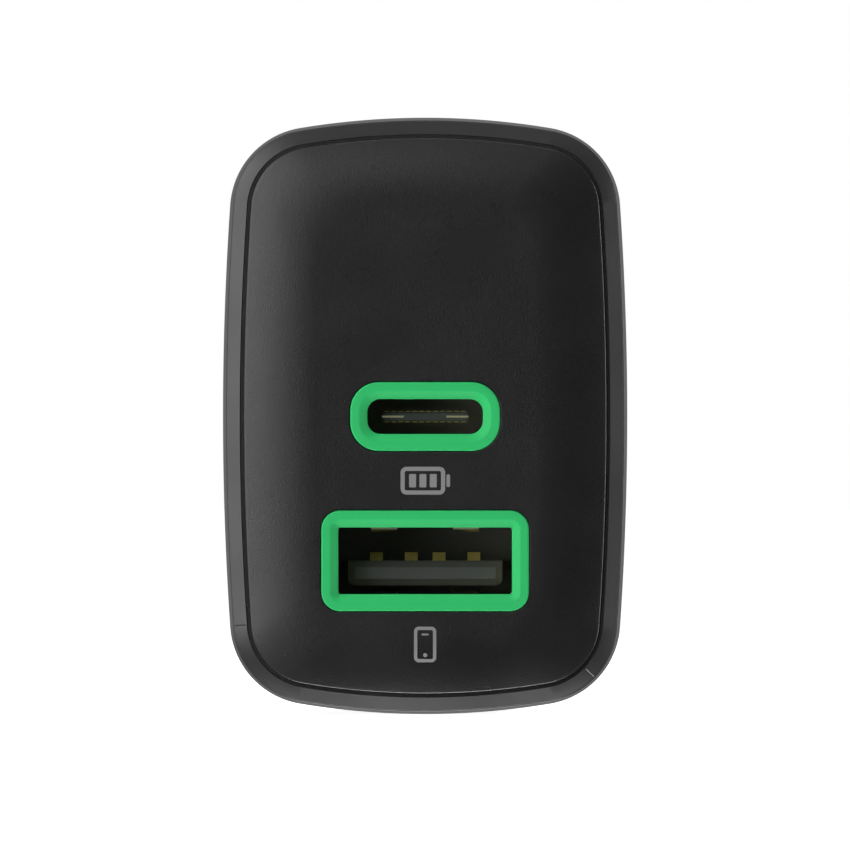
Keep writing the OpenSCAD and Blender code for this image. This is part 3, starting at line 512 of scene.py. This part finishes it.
def build_plug_base():
    """The plug's neck with the two holes that the pins' sleeves stand in."""
    bm = bmesh.new()
    outer = add_loft(bm, plug_rings())
    inner = add_ring(bm, at(neck_outline(NECK_END, -NECK_WALL_T), -PLUG_WALL_T))
    bridge(bm, outer[0], inner)
    fronts, backs = [outer[-1]], [inner]
    hole_profile = [(0, 0.14), (-0.03, 0.08), (-0.1, 0.06), (-0.3, 0.06), (-0.3, 0), (-PLUG_WALL_T, 0)]
    for side in (-1, 1):
        hole = add_loft(bm, [at(circle(SLEEVE_R + grow), y, side * PIN_Z) for y, grow in hole_profile])
        fronts.append(hole[0])
        backs.append(hole[-1])
    fill_between(bm, fronts)
    fill_between(bm, backs)
    piece = finish_mesh(bm, "plug_body")
    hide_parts("plug_base")
    return piece


def build_pin(name, node, z):
    """A pin with a hidden collar, a thin core under its sleeve, and a bare round-nosed end."""
    (collar_y0, collar_y1), collar_r, cut = PIN_COLLAR["y"], PIN_COLLAR["r"], PIN_COLLAR["chamfer"]
    chamfer, root_chamfer = 0.12, 0.15
    root = [(pin_low.y, PIN_ROOT_R - root_chamfer), (pin_low.y + root_chamfer, PIN_ROOT_R), (collar_y0, PIN_ROOT_R)]
    collar = [(collar_y0, collar_r - cut), (collar_y0 + cut, collar_r),
              (collar_y1 - cut, collar_r), (collar_y1, collar_r - cut)]
    core = [(collar_y1, PIN_CORE_R), (SLEEVE_END_Y, PIN_CORE_R)]
    bare = [(SLEEVE_END_Y, PIN_R - chamfer), (SLEEVE_END_Y + chamfer, PIN_R),
            (SLEEVE_END_Y + 2, PIN_R), (PIN_END_Y - PIN_R, PIN_R)]
    tip = [(PIN_END_Y - PIN_R + PIN_R * math.sin(a), PIN_R * math.cos(a))
           for a in (math.radians(5 * k) for k in range(1, 18))]
    profile = root + collar + core + bare + tip
    piece = lathe(name, profile, z)
    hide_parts(node)
    return piece


def build_sleeve(name, node, z):
    """A tube over the pin's core with a slightly rounded outer end."""
    lip = 0.12
    outer = [(SLEEVE_ROOT_Y, SLEEVE_R), (0, SLEEVE_R), (SLEEVE_END_Y - lip, SLEEVE_R)]
    outer += [(SLEEVE_END_Y - lip + lip * math.sin(a), SLEEVE_R - lip + lip * math.cos(a))
              for a in (math.radians(18 * k) for k in range(1, 6))]
    inner_r = PIN_CORE_R + 0.005
    profile = outer + [(SLEEVE_END_Y, inner_r), (SLEEVE_ROOT_Y, inner_r)]
    bm = bmesh.new()
    add_loft(bm, [at(circle(r, ROUND_STEPS), y, z) for y, r in profile], closed=True)
    piece = finish_mesh(bm, name)
    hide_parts(node)
    return piece


# ---------------------------------------------------------------- printed marks
INK_T, INK_SUNK = 0.02, 0.01


def frame_loop(bm, outer, inner, z):
    """A flat printed frame between two outlines with the same number of points."""
    y0, y1 = FACE_Y - INK_T, FACE_Y + INK_SUNK
    rings = [at(inner, y1, z), at(inner, y0, z), at(outer, y0, z), at(outer, y1, z)]
    add_loft(bm, rings, closed=True)


def moved(outline, dx, dz):
    return [(x + dx, z + dz) for x, z in outline]


def solid_mark(bm, outline, z):
    """A flat printed shape without a hole."""
    made = add_loft(bm, [at(outline, FACE_Y - INK_T, z), at(outline, FACE_Y + INK_SUNK, z)])
    for loop in made:
        bm.faces.new(loop)


def build_battery_mark():
    """A generic charging mark: a battery outline with three bars."""
    bm = bmesh.new()
    z = USB_C["z"] - 4.6
    stroke, size, r, case_x, bar_step = 0.3, (3.2, 2.0), 0.42, -0.16, 0.74
    case = moved(rounded_box(size, r), case_x, 0)
    inside = moved(rounded_box(size, r - stroke, -stroke), case_x, 0)
    frame_loop(bm, case, inside, z)
    solid_mark(bm, moved(rounded_box((0.26, 0.9), 0.1), size[0] / 2 + 0.06, 0), z)
    for i in (-1, 0, 1):
        solid_mark(bm, moved(rounded_box((0.5, 0.96), 0.08), case_x + bar_step * i, 0), z)
    return mark_piece(bm, "mark_battery")


def build_phone_mark():
    """A generic device mark: a phone outline with a speaker slot and a button."""
    bm = bmesh.new()
    z = USB_A["z"] - 6.0
    stroke, size, r = 0.24, (1.6, 2.56), 0.36
    frame_loop(bm, rounded_box(size, r), rounded_box(size, r - stroke, -stroke), z)
    solid_mark(bm, moved(rounded_box((0.5, 0.14), 0.06), 0, 0.72), z)
    solid_mark(bm, moved(circle(0.15, 24), 0, -0.76), z)
    return mark_piece(bm, "mark_phone")


def crown_at(z):
    """How far the panel's surface lies behind its flat middle at height z, near x = 0."""
    half = BODY_H / 2 - PANEL_INSET
    step = (1 - abs(z) / half) / (1 - FLAT_H / 2 / half)
    return CROWN_D * max(0, 1 - step) ** 2


def mark_piece(bm, name):
    """Cuts a mark's long edges and lays it on the crowned panel."""
    longest = 0.3
    long_edges = [e for e in bm.edges if e.calc_length() > longest]
    bmesh.ops.subdivide_edges(bm, edges=long_edges, cuts=5)
    for v in bm.verts:
        v.co.y += crown_at(v.co.z)
    piece = finish_mesh(bm, name, weighted=False)
    return piece


# ---------------------------------------------------------------- materials
SURFACE_IOR = 1.5


class Look:
    """A node material made a step at a time; every texture is in object space and in real sizes."""

    def __init__(self, name, rough, metallic=0.0, specular=0.5):
        self.mat = bpy.data.materials.new(name)
        self.mat.use_nodes = True
        self.tree = self.mat.node_tree
        self.tree.nodes.clear()
        self.shader = self.tree.nodes.new("ShaderNodeBsdfPrincipled")
        out = self.tree.nodes.new("ShaderNodeOutputMaterial")
        self.link(self.shader.outputs["BSDF"], out.inputs["Surface"])
        self.shader.inputs["Roughness"].default_value = rough
        self.shader.inputs["Metallic"].default_value = metallic
        self.shader.inputs["IOR"].default_value = SURFACE_IOR
        self.shader.inputs["Specular IOR Level"].default_value = specular
        self.coord = self.tree.nodes.new("ShaderNodeTexCoord").outputs["Object"]
        self.normal = None

    def link(self, a, b):
        self.tree.links.new(a, b)

    def stretched(self, scale):
        """Object coordinates stretched along the axes."""
        node = self.tree.nodes.new("ShaderNodeMapping")
        node.inputs["Scale"].default_value = scale
        self.link(self.coord, node.inputs["Vector"])
        return node.outputs["Vector"]

    def noise(self, size_mm, detail=2.0, rough=0.5, vector=None):
        """Noise whose features are about size_mm across."""
        node = self.tree.nodes.new("ShaderNodeTexNoise")
        node.inputs["Scale"].default_value = 1 / (size_mm * MM)
        node.inputs["Detail"].default_value = detail
        node.inputs["Roughness"].default_value = rough
        self.link(vector or self.coord, node.inputs["Vector"])
        return node.outputs["Fac"]

    def cell_edges(self, size_mm):
        """The distance to the nearest edge of irregular cells about size_mm across."""
        node = self.tree.nodes.new("ShaderNodeTexVoronoi")
        node.feature = "DISTANCE_TO_EDGE"
        node.inputs["Scale"].default_value = 1 / (size_mm * MM)
        self.link(self.coord, node.inputs["Vector"])
        return node.outputs["Distance"]

    def bands(self, pitch_mm, direction, distortion=0.0):
        """Parallel bands, such as turns of wire or the threads of a weave."""
        node = self.tree.nodes.new("ShaderNodeTexWave")
        node.bands_direction = direction
        node.inputs["Scale"].default_value = math.pi / 10 / (pitch_mm * MM)
        node.inputs["Distortion"].default_value = distortion
        node.inputs["Detail"].default_value = 1.0
        self.link(self.coord, node.inputs["Vector"])
        return node.outputs["Fac"]

    def spread(self, value, low, high, to_low, to_high):
        """Maps low..high onto to_low..to_high."""
        node = self.tree.nodes.new("ShaderNodeMapRange")
        node.inputs["From Min"].default_value = low
        node.inputs["From Max"].default_value = high
        node.inputs["To Min"].default_value = to_low
        node.inputs["To Max"].default_value = to_high
        self.link(value, node.inputs["Value"])
        return node.outputs["Result"]

    def colour(self, value, dark, light, low=0.3, high=0.7):
        """Base colour that runs from dark to light with a texture."""
        ramp = self.tree.nodes.new("ShaderNodeValToRGB")
        ends = ramp.color_ramp.elements
        ends[0].position, ends[1].position = low, high
        ends[0].color, ends[1].color = (*dark, 1), (*light, 1)
        self.link(value, ramp.inputs["Fac"])
        self.link(ramp.outputs["Color"], self.shader.inputs["Base Color"])

    def roughness(self, value, low, high):
        """Roughness that runs from low to high with a texture."""
        self.link(self.spread(value, 0.25, 0.75, low, high), self.shader.inputs["Roughness"])

    def bump(self, value, depth_mm, strength=1.0):
        """Adds relief; depth_mm is its real depth."""
        node = self.tree.nodes.new("ShaderNodeBump")
        node.inputs["Strength"].default_value = strength
        node.inputs["Distance"].default_value = depth_mm * MM
        self.link(value, node.inputs["Height"])
        if self.normal:
            self.link(self.normal, node.inputs["Normal"])
        self.normal = node.outputs["Normal"]
        self.link(self.normal, self.shader.inputs["Normal"])


def tone(rgb, k):
    """A colour k times as bright."""
    return tuple(min(1.0, c * k) for c in rgb)


def moulded(name, rgb, rough, grain_mm=0.16, grain_depth=0.004, contrast=0.12, spread=0.05, specular=0.5):
    """Moulded plastic with a fine spark-eroded grain, a coarser one under it, and slow changes of gloss."""
    look = Look(name, rough, specular=specular)
    grain = look.noise(grain_mm, detail=3.0, rough=0.6)
    cloud = look.noise(6.0, detail=2.0)
    look.colour(grain, tone(rgb, 1 - contrast), tone(rgb, 1 + contrast))
    look.roughness(cloud, rough - spread, rough + spread)
    look.bump(grain, grain_depth)
    look.bump(look.noise(grain_mm * 4, detail=1.0), grain_depth * 0.3, 0.5)
    return look.mat


def painted_light_by_depth(name, front, back, depth_mm):
    """Moulded plastic with painted light: the front tone, and the paler back tone painted as light on what lies
    deeper than depth_mm behind the face.
    """
    look = Look(name, 0.42)
    grain = look.noise(0.09, detail=3.0, rough=0.6)
    place = look.tree.nodes.new("ShaderNodeSeparateXYZ")
    look.link(look.coord, place.inputs["Vector"])
    # Painted light: what lies deeper than depth_mm behind the face gets the paler back tone.
    painted_light_edge = (FACE_Y + depth_mm) * MM
    painted_light_deep = look.spread(place.outputs["Y"], painted_light_edge, painted_light_edge + MM, 0.25, 0.75)
    grain_and_painted_light = look.tree.nodes.new("ShaderNodeMath")
    grain_and_painted_light.operation = "MULTIPLY_ADD"
    look.link(grain, grain_and_painted_light.inputs[0])
    grain_and_painted_light.inputs[1].default_value = 0.1
    look.link(painted_light_deep, grain_and_painted_light.inputs[2])
    look.colour(grain_and_painted_light.outputs["Value"], front, back, 0.3, 0.8)
    look.bump(grain, 0.003)
    return look.mat


# Marks per metre along and across the direction in which a metal was drawn or polished
ALONG, ACROSS = 3000, 45000
MARKS = {"X": (ALONG, ACROSS, ACROSS), "Y": (ACROSS, ALONG, ACROSS), "ROUND_Y": (ALONG, ACROSS, ALONG)}
METRE_MM = 1000


def metal(name, rgb, rough, direction="X", depth=0.0008, stain=0.15):
    """Plated or drawn metal with fine parallel marks and faint stains."""
    look = Look(name, rough, metallic=1.0)
    streaks = look.noise(METRE_MM, detail=3.0, vector=look.stretched(MARKS[direction]))
    cloud = look.noise(2.5, detail=3.0)
    look.colour(cloud, tone(rgb, 1 - stain), rgb)
    look.roughness(streaks, rough - 0.07, rough + 0.09)
    look.bump(streaks, depth)
    return look.mat


def coated(name, rgb, rough, cloud_mm=3.0, contrast=0.1, dimple_mm=0.5, depth=0.006, specular=0.5):
    """A dipped, sleeved or printed coat: smooth, with slow dimples."""
    look = Look(name, rough, specular=specular)
    cloud = look.noise(cloud_mm, detail=3.0)
    look.colour(cloud, tone(rgb, 1 - contrast), tone(rgb, 1 + contrast))
    look.roughness(look.noise(cloud_mm / 3), rough - 0.05, rough + 0.08)
    look.bump(look.noise(dimple_mm, detail=1.0), depth)
    return look.mat


def wound(name, dark, light, pitch_mm, direction="X", rough=0.35, metallic=0.0):
    """Close turns of wire, with painted shade darkening the grooves between the turns."""
    look = Look(name, rough, metallic=metallic)
    turns = look.bands(pitch_mm, direction, distortion=0.4)
    # Painted shade: the colour is darker where the bump is lowest, in the grooves between turns.
    look.colour(turns, dark, light, 0.05, 0.6)
    look.roughness(look.noise(0.6), rough - 0.06, rough + 0.08)
    look.bump(turns, pitch_mm * 0.25)
    return look.mat


def laminate(name):
    """Green solder mask over copper and glass weave."""
    look = Look(name, 0.32)
    tracks = look.cell_edges(2.4)
    look.colour(tracks, (0.03, 0.2, 0.07), (0.008, 0.075, 0.03), 0.03, 0.07)
    look.roughness(look.noise(0.5), 0.26, 0.4)
    look.bump(look.bands(0.35, "Y"), 0.004)
    look.bump(look.bands(0.35, "Z"), 0.004)
    look.bump(look.spread(tracks, 0.03, 0.07, 1, 0), 0.02)
    return look.mat


def grainy(name, rgb, rough, grain_mm=0.12, depth=0.01, specks=0.35, metallic=0.0):
    """Fine-grained material: ferrite, ceramic, iron powder, epoxy, or a plated or cut metal face."""
    look = Look(name, rough, metallic=metallic)
    grain = look.noise(grain_mm, detail=4.0, rough=0.7)
    look.colour(grain, tone(rgb, 1 - specks), tone(rgb, 1 + specks), 0.35, 0.65)
    look.roughness(grain, rough - 0.08, rough + 0.08)
    look.bump(grain, depth)
    return look.mat


def all_materials():
    """One material for each material slot of the record, and one for the USB-C block, painted paler deeper in as
    painted light.
    """
    return {
        "housing_black": moulded("housing_plastic", (0.012, 0.012, 0.0122), 0.37, 0.12, 0.004),
        "panel_black": moulded("panel_plastic", (0.007, 0.007, 0.0071), 0.295, 0.09, 0.024, 0.5),
        "plug_black": moulded("plug_plastic", (0.02, 0.02, 0.021), 0.45, 0.14, 0.004),
        "bezel_green": moulded("ring_plastic", (0.029, 0.48, 0.137), 0.55, 0.08, 0.0015, 0.03, specular=0.15),
        "print_grey": moulded("ink", (0.21, 0.21, 0.21), 0.6, 0.06, 0.002, 0.08),
        "pin_nickel": metal("nickel_plate", (0.72, 0.71, 0.68), 0.33, "ROUND_Y", depth=0.0004),
        "sleeve_black": coated("nylon_sleeve", (0.014, 0.014, 0.015), 0.32, 2.0, 0.1, 0.9, 0.004),
        "strip_bronze": metal("bronze_strip", (0.62, 0.4, 0.2), 0.3, "Y"),
        "port_steel": metal("port_steel", (0.8, 0.78, 0.56), 0.34, "Y"),
        "port_plastic": moulded("port_plastic", (0.057, 0.058, 0.056), 0.42, 0.09, 0.003),
        "plate_steel": grainy("plate_steel", (0.9, 0.86, 0.52), 0.3, 0.05, 0.0006, 0.06, metallic=1.0),
        # The USB-C block: one plastic, painted paler deeper than 4.2 mm behind the face as painted light.
        "port_plastic_c_painted_light": painted_light_by_depth("small_port_plastic_painted_light", (0.06, 0.062, 0.06), (0.14, 0.136, 0.13), 4.2),
        "contact_gold": grainy("contact_gold", (0.6, 0.48, 0.16), 0.4, 0.05, 0.001, 0.1, metallic=0.35),
        "board_green": laminate("solder_mask"),
        "tin": metal("tin_plate", (0.62, 0.62, 0.6), 0.34, "X"),
        "ferrite": grainy("ferrite", (0.045, 0.045, 0.05), 0.5),
        "choke_ferrite": coated("choke_coat", (0.04, 0.12, 0.06), 0.38),
        "bobbin_plastic": moulded("bobbin_plastic", (0.02, 0.022, 0.025), 0.45),
        "magnet_wire": wound("magnet_wire", (0.2, 0.05, 0.015), (0.68, 0.27, 0.1), 0.28, "X", 0.3, 0.6),
        "insulated_wire": wound("insulated_wire", (0.35, 0.32, 0.2), (0.78, 0.75, 0.6), 0.6, "X"),
        "tape_yellow": coated("polyester_tape", (0.82, 0.5, 0.04), 0.25, 4.0, 0.07, 1.4, 0.01),
        "can_sleeve": coated("shrink_sleeve", (0.02, 0.022, 0.05), 0.28, 4.0, 0.12, 1.6, 0.012),
        "can_aluminium": metal("can_aluminium", (0.78, 0.78, 0.79), 0.28, "X"),
        "bung_rubber": moulded("bung_rubber", (0.025, 0.025, 0.025), 0.7),
        "film_yellow": moulded("film_box", (0.76, 0.53, 0.07), 0.4, 0.2, 0.004, 0.05),
        "disc_blue": coated("disc_coat", (0.03, 0.16, 0.48), 0.3),
        "fuse_brown": moulded("fuse_box", (0.05, 0.035, 0.03), 0.4),
        "chip_black": grainy("chip_epoxy", (0.025, 0.025, 0.026), 0.55, 0.09, 0.004),
        "inductor_grey": grainy("iron_powder", (0.08, 0.08, 0.085), 0.6, 0.14, 0.015),
        "resistor_black": grainy("resistor_glaze", (0.025, 0.025, 0.028), 0.3, 0.1, 0.003),
        "chip_ceramic": grainy("chip_ceramic", (0.4, 0.27, 0.16), 0.4, 0.1, 0.004, 0.15),
        "spreader_aluminium": metal("rolled_aluminium", (0.7, 0.7, 0.71), 0.32, "Y"),
        "pad_grey": coated("silicone_pad", (0.34, 0.38, 0.46), 0.6, 1.0, 0.06),
        "sheet_ivory": coated("polyester_film", (0.83, 0.8, 0.68), 0.42, 5.0, 0.03, 2.0, 0.01),
    }


def set_material(piece, mat):
    piece.data.materials.clear()
    piece.data.materials.append(mat)


# ---------------------------------------------------------------- carried-over CAD nodes
# Nodes with thin or small solids, whose edges are rounded less
FINE_EDGE_NODES = ("usb_a_insulator", "usb_a_shell", "usb_a_contacts", "usb_c_insulator", "usb_c_shell",
                   "usb_c_upper_contacts", "usb_c_lower_contacts", "usb_c_mid_plate", "board_link_pins",
                   "chip_resistors", "chip_capacitors", "bridge_rectifier", "primary_controller",
                   "sync_rectifier", "optocoupler", "usb_c_controller", "buck_converter", "insulation_sheet")
FINE_EDGE, PLAIN_EDGE = 0.02, 0.06
FLAT_ANGLE, ROUNDED_ANGLE = 1, 38

# Nodes whose material differs from that of the rest of their slot
# The USB-C block's material carries painted light: it is paler deeper than 4.2 mm behind the face.
OWN_MATERIALS = {"usb_c_insulator": "port_plastic_c_painted_light"}


def soften(node_object, name):
    """Merges flat facets and rounds the edges of a CAD node, without touching its mesh."""
    merge = node_object.modifiers.new("merge_flats", "DECIMATE")
    merge.decimate_type = "DISSOLVE"
    merge.angle_limit = math.radians(FLAT_ANGLE)
    edges = node_object.modifiers.new("edge_round", "BEVEL")
    edges.limit_method = "ANGLE"
    edges.angle_limit = math.radians(ROUNDED_ANGLE)
    edges.width = (FINE_EDGE if name in FINE_EDGE_NODES else PLAIN_EDGE) * MM
    edges.segments = 2
    edges.use_clamp_overlap = True
    weigh_normals(node_object)


def dress_cad_nodes(materials):
    """Gives each CAD node that no new piece replaces its material and rounded edges."""
    slots = {row["node"]: row["material_slot"] for row in frame["record"]["subparts"]}
    for name, node_object in frame["nodes"].items():
        if node_object.hide_render:
            continue
        set_material(node_object, materials[OWN_MATERIALS.get(name, slots[name])])
        soften(node_object, name)


# ---------------------------------------------------------------- studio
# The camera, in metres: how far off it stands, what its frame spans, and the frame's centre in x and z
CAMERA_DISTANCE = 2.5
FRAME_WIDTH = 0.06096
VIEW_CENTRE = (-0.000009, -0.000656)
NEAR_CLIP, FAR_CLIP = 0.1, 60


def add_camera():
    """A long lens straight in front of the face, as in the photograph."""
    data = bpy.data.cameras.new("camera")
    data.lens = data.sensor_width * CAMERA_DISTANCE / FRAME_WIDTH
    data.clip_start, data.clip_end = NEAR_CLIP, FAR_CLIP
    camera = bpy.data.objects.new("camera", data)
    camera.location = (VIEW_CENTRE[0], FACE_Y * MM - CAMERA_DISTANCE, VIEW_CENTRE[1])
    camera.rotation_euler = (math.radians(90), 0, 0)
    bpy.context.scene.collection.objects.link(camera)
    bpy.context.scene.camera = camera


# Softboxes round the face: name, degrees from the camera's axis, degrees round it (0 is right, 90 is up,
# as the camera sees it), width and height in metres, and radiance
INNER, OUTER, RIM, BACK = (0.34, 0.34), (0.36, 0.36), (0.5, 0.6), (0.6, 0.6)
SOFTBOXES = (
    ("key_left_inner", 38, 180, INNER, 3.86),
    ("key_upper_left_inner", 38, 135, INNER, 4.03),
    ("top_inner", 38, 90, INNER, 0.51),
    ("lower_left_inner", 38, 225, INNER, 0.4),
    ("key_left", 67, 180, OUTER, 4.3),
    ("key_upper_left", 67, 152, OUTER, 4.4),
    ("key_upper_left_high", 67, 130, OUTER, 2.0),
    ("right", 67, 0, OUTER, 0.4),
    ("upper_right_low", 67, 30, OUTER, 0.27),
    ("upper_right", 67, 60, OUTER, 0.55),
    ("top", 67, 90, OUTER, 0.3),
    ("under_left", 67, 240, OUTER, 1.3),
    ("under_right", 67, 300, OUTER, 1.8),
    ("rim_right", 96, 0, RIM, 6.6),
    ("rim_top", 99, 90, RIM, 2.6),
    ("rim_under", 97, 270, RIM, 14.5),
    ("back_left", 135, 160, BACK, 0.45),
    ("back_right", 135, 20, BACK, 0.3),
    ("back_top", 135, 90, BACK, 0.6),
)
SOFTBOX_DISTANCE = 0.8

# The sky's strength on the camera's side and behind the charger, and where along Y it starts and stops changing
WORLD_FRONT, WORLD_BACK = 0.105, 0.28
WORLD_FROM, WORLD_TO = -0.5, 0.15
FLOOR_SIZE, FLOOR_GLOW = 6, 0.85


def add_softbox(name, polar, turn, size, radiance):
    """An area light that faces the charger's face."""
    data = bpy.data.lights.new(name, "AREA")
    data.shape = "RECTANGLE"
    data.size, data.size_y = size
    data.energy = radiance * math.pi * size[0] * size[1]
    light = bpy.data.objects.new(name, data)
    polar, turn = math.radians(polar), math.radians(turn)
    way = Vector((math.sin(polar) * math.cos(turn), -math.cos(polar), math.sin(polar) * math.sin(turn)))
    light.location = Vector((0, FACE_Y * MM, 0)) + way * SOFTBOX_DISTANCE
    light.rotation_euler = way.to_track_quat("Z", "Y").to_euler()
    bpy.context.scene.collection.objects.link(light)


def add_floor():
    """A pale, glowing floor that only the camera sees, and that neither blocks nor reflects the lights."""
    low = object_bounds()[0]
    bm = bmesh.new()
    bmesh.ops.create_grid(bm, x_segments=8, y_segments=8, size=FLOOR_SIZE)
    mesh = bpy.data.meshes.new("floor")
    bm.to_mesh(mesh)
    bm.free()
    floor = bpy.data.objects.new("floor", mesh)
    floor.location = (0, 0, low.z)
    floor.visible_diffuse = False
    floor.visible_glossy = False
    floor.visible_shadow = False
    bpy.context.scene.collection.objects.link(floor)
    look = Look("floor_paper", 0.8, specular=0.2)
    look.colour(look.noise(40, detail=2.0), (0.86, 0.86, 0.86), (0.9, 0.9, 0.9))
    look.shader.inputs["Emission Color"].default_value = (1, 1, 1, 1)
    look.shader.inputs["Emission Strength"].default_value = FLOOR_GLOW
    set_material(floor, look.mat)


def add_world():
    """A sky brighter behind the charger than on the camera's side; seen directly it is white all round."""
    world = bpy.data.worlds.new("world")
    bpy.context.scene.world = world
    world.use_nodes = True
    tree = world.node_tree
    tree.nodes.clear()
    coord = tree.nodes.new("ShaderNodeTexCoord")
    split = tree.nodes.new("ShaderNodeSeparateXYZ")
    depth = tree.nodes.new("ShaderNodeMapRange")
    depth.inputs["From Min"].default_value = WORLD_FROM
    depth.inputs["From Max"].default_value = WORLD_TO
    depth.inputs["To Min"].default_value = WORLD_FRONT
    depth.inputs["To Max"].default_value = WORLD_BACK
    light = tree.nodes.new("ShaderNodeBackground")
    backdrop = tree.nodes.new("ShaderNodeBackground")
    seen = tree.nodes.new("ShaderNodeLightPath")
    mix = tree.nodes.new("ShaderNodeMixShader")
    out = tree.nodes.new("ShaderNodeOutputWorld")
    tree.links.new(coord.outputs["Generated"], split.inputs["Vector"])
    tree.links.new(split.outputs["Y"], depth.inputs["Value"])
    tree.links.new(depth.outputs["Result"], light.inputs["Strength"])
    tree.links.new(seen.outputs["Is Camera Ray"], mix.inputs["Fac"])
    tree.links.new(light.outputs["Background"], mix.inputs[1])
    tree.links.new(backdrop.outputs["Background"], mix.inputs[2])
    tree.links.new(mix.outputs["Shader"], out.inputs["Surface"])
    light.inputs["Color"].default_value = (1, 1, 1, 1)
    backdrop.inputs["Color"].default_value = (1, 1, 1, 1)


def add_studio():
    add_camera()
    add_world()
    for row in SOFTBOXES:
        add_softbox(*row)
    bpy.context.scene.view_settings.view_transform = "Standard"


# ---------------------------------------------------------------- assembly
def build():
    materials = all_materials()
    dressed = [
        (build_housing(), "housing_black"),
        (build_mould_line("mould_line_left"), "housing_black"),
        (build_mould_line("mould_line_right"), "housing_black"),
        (build_panel(), "panel_black"),
        (build_port_ring("ring_usb_c", "usb_c_bezel", USB_C), "bezel_green"),
        (build_port_ring("ring_usb_a", "usb_a_bezel", USB_A), "bezel_green"),
        (build_plug_base(), "plug_black"),
        (build_pin("pin_upper", "live_pin", PIN_Z), "pin_nickel"),
        (build_pin("pin_lower", "neutral_pin", -PIN_Z), "pin_nickel"),
        (build_sleeve("sleeve_upper", "live_pin_sleeve", PIN_Z), "sleeve_black"),
        (build_sleeve("sleeve_lower", "neutral_pin_sleeve", -PIN_Z), "sleeve_black"),
        (build_battery_mark(), "print_grey"),
        (build_phone_mark(), "print_grey"),
    ]
    for piece, slot in dressed:
        set_material(piece, materials[slot])
    dress_cad_nodes(materials)


build()
add_studio()
add_floor()
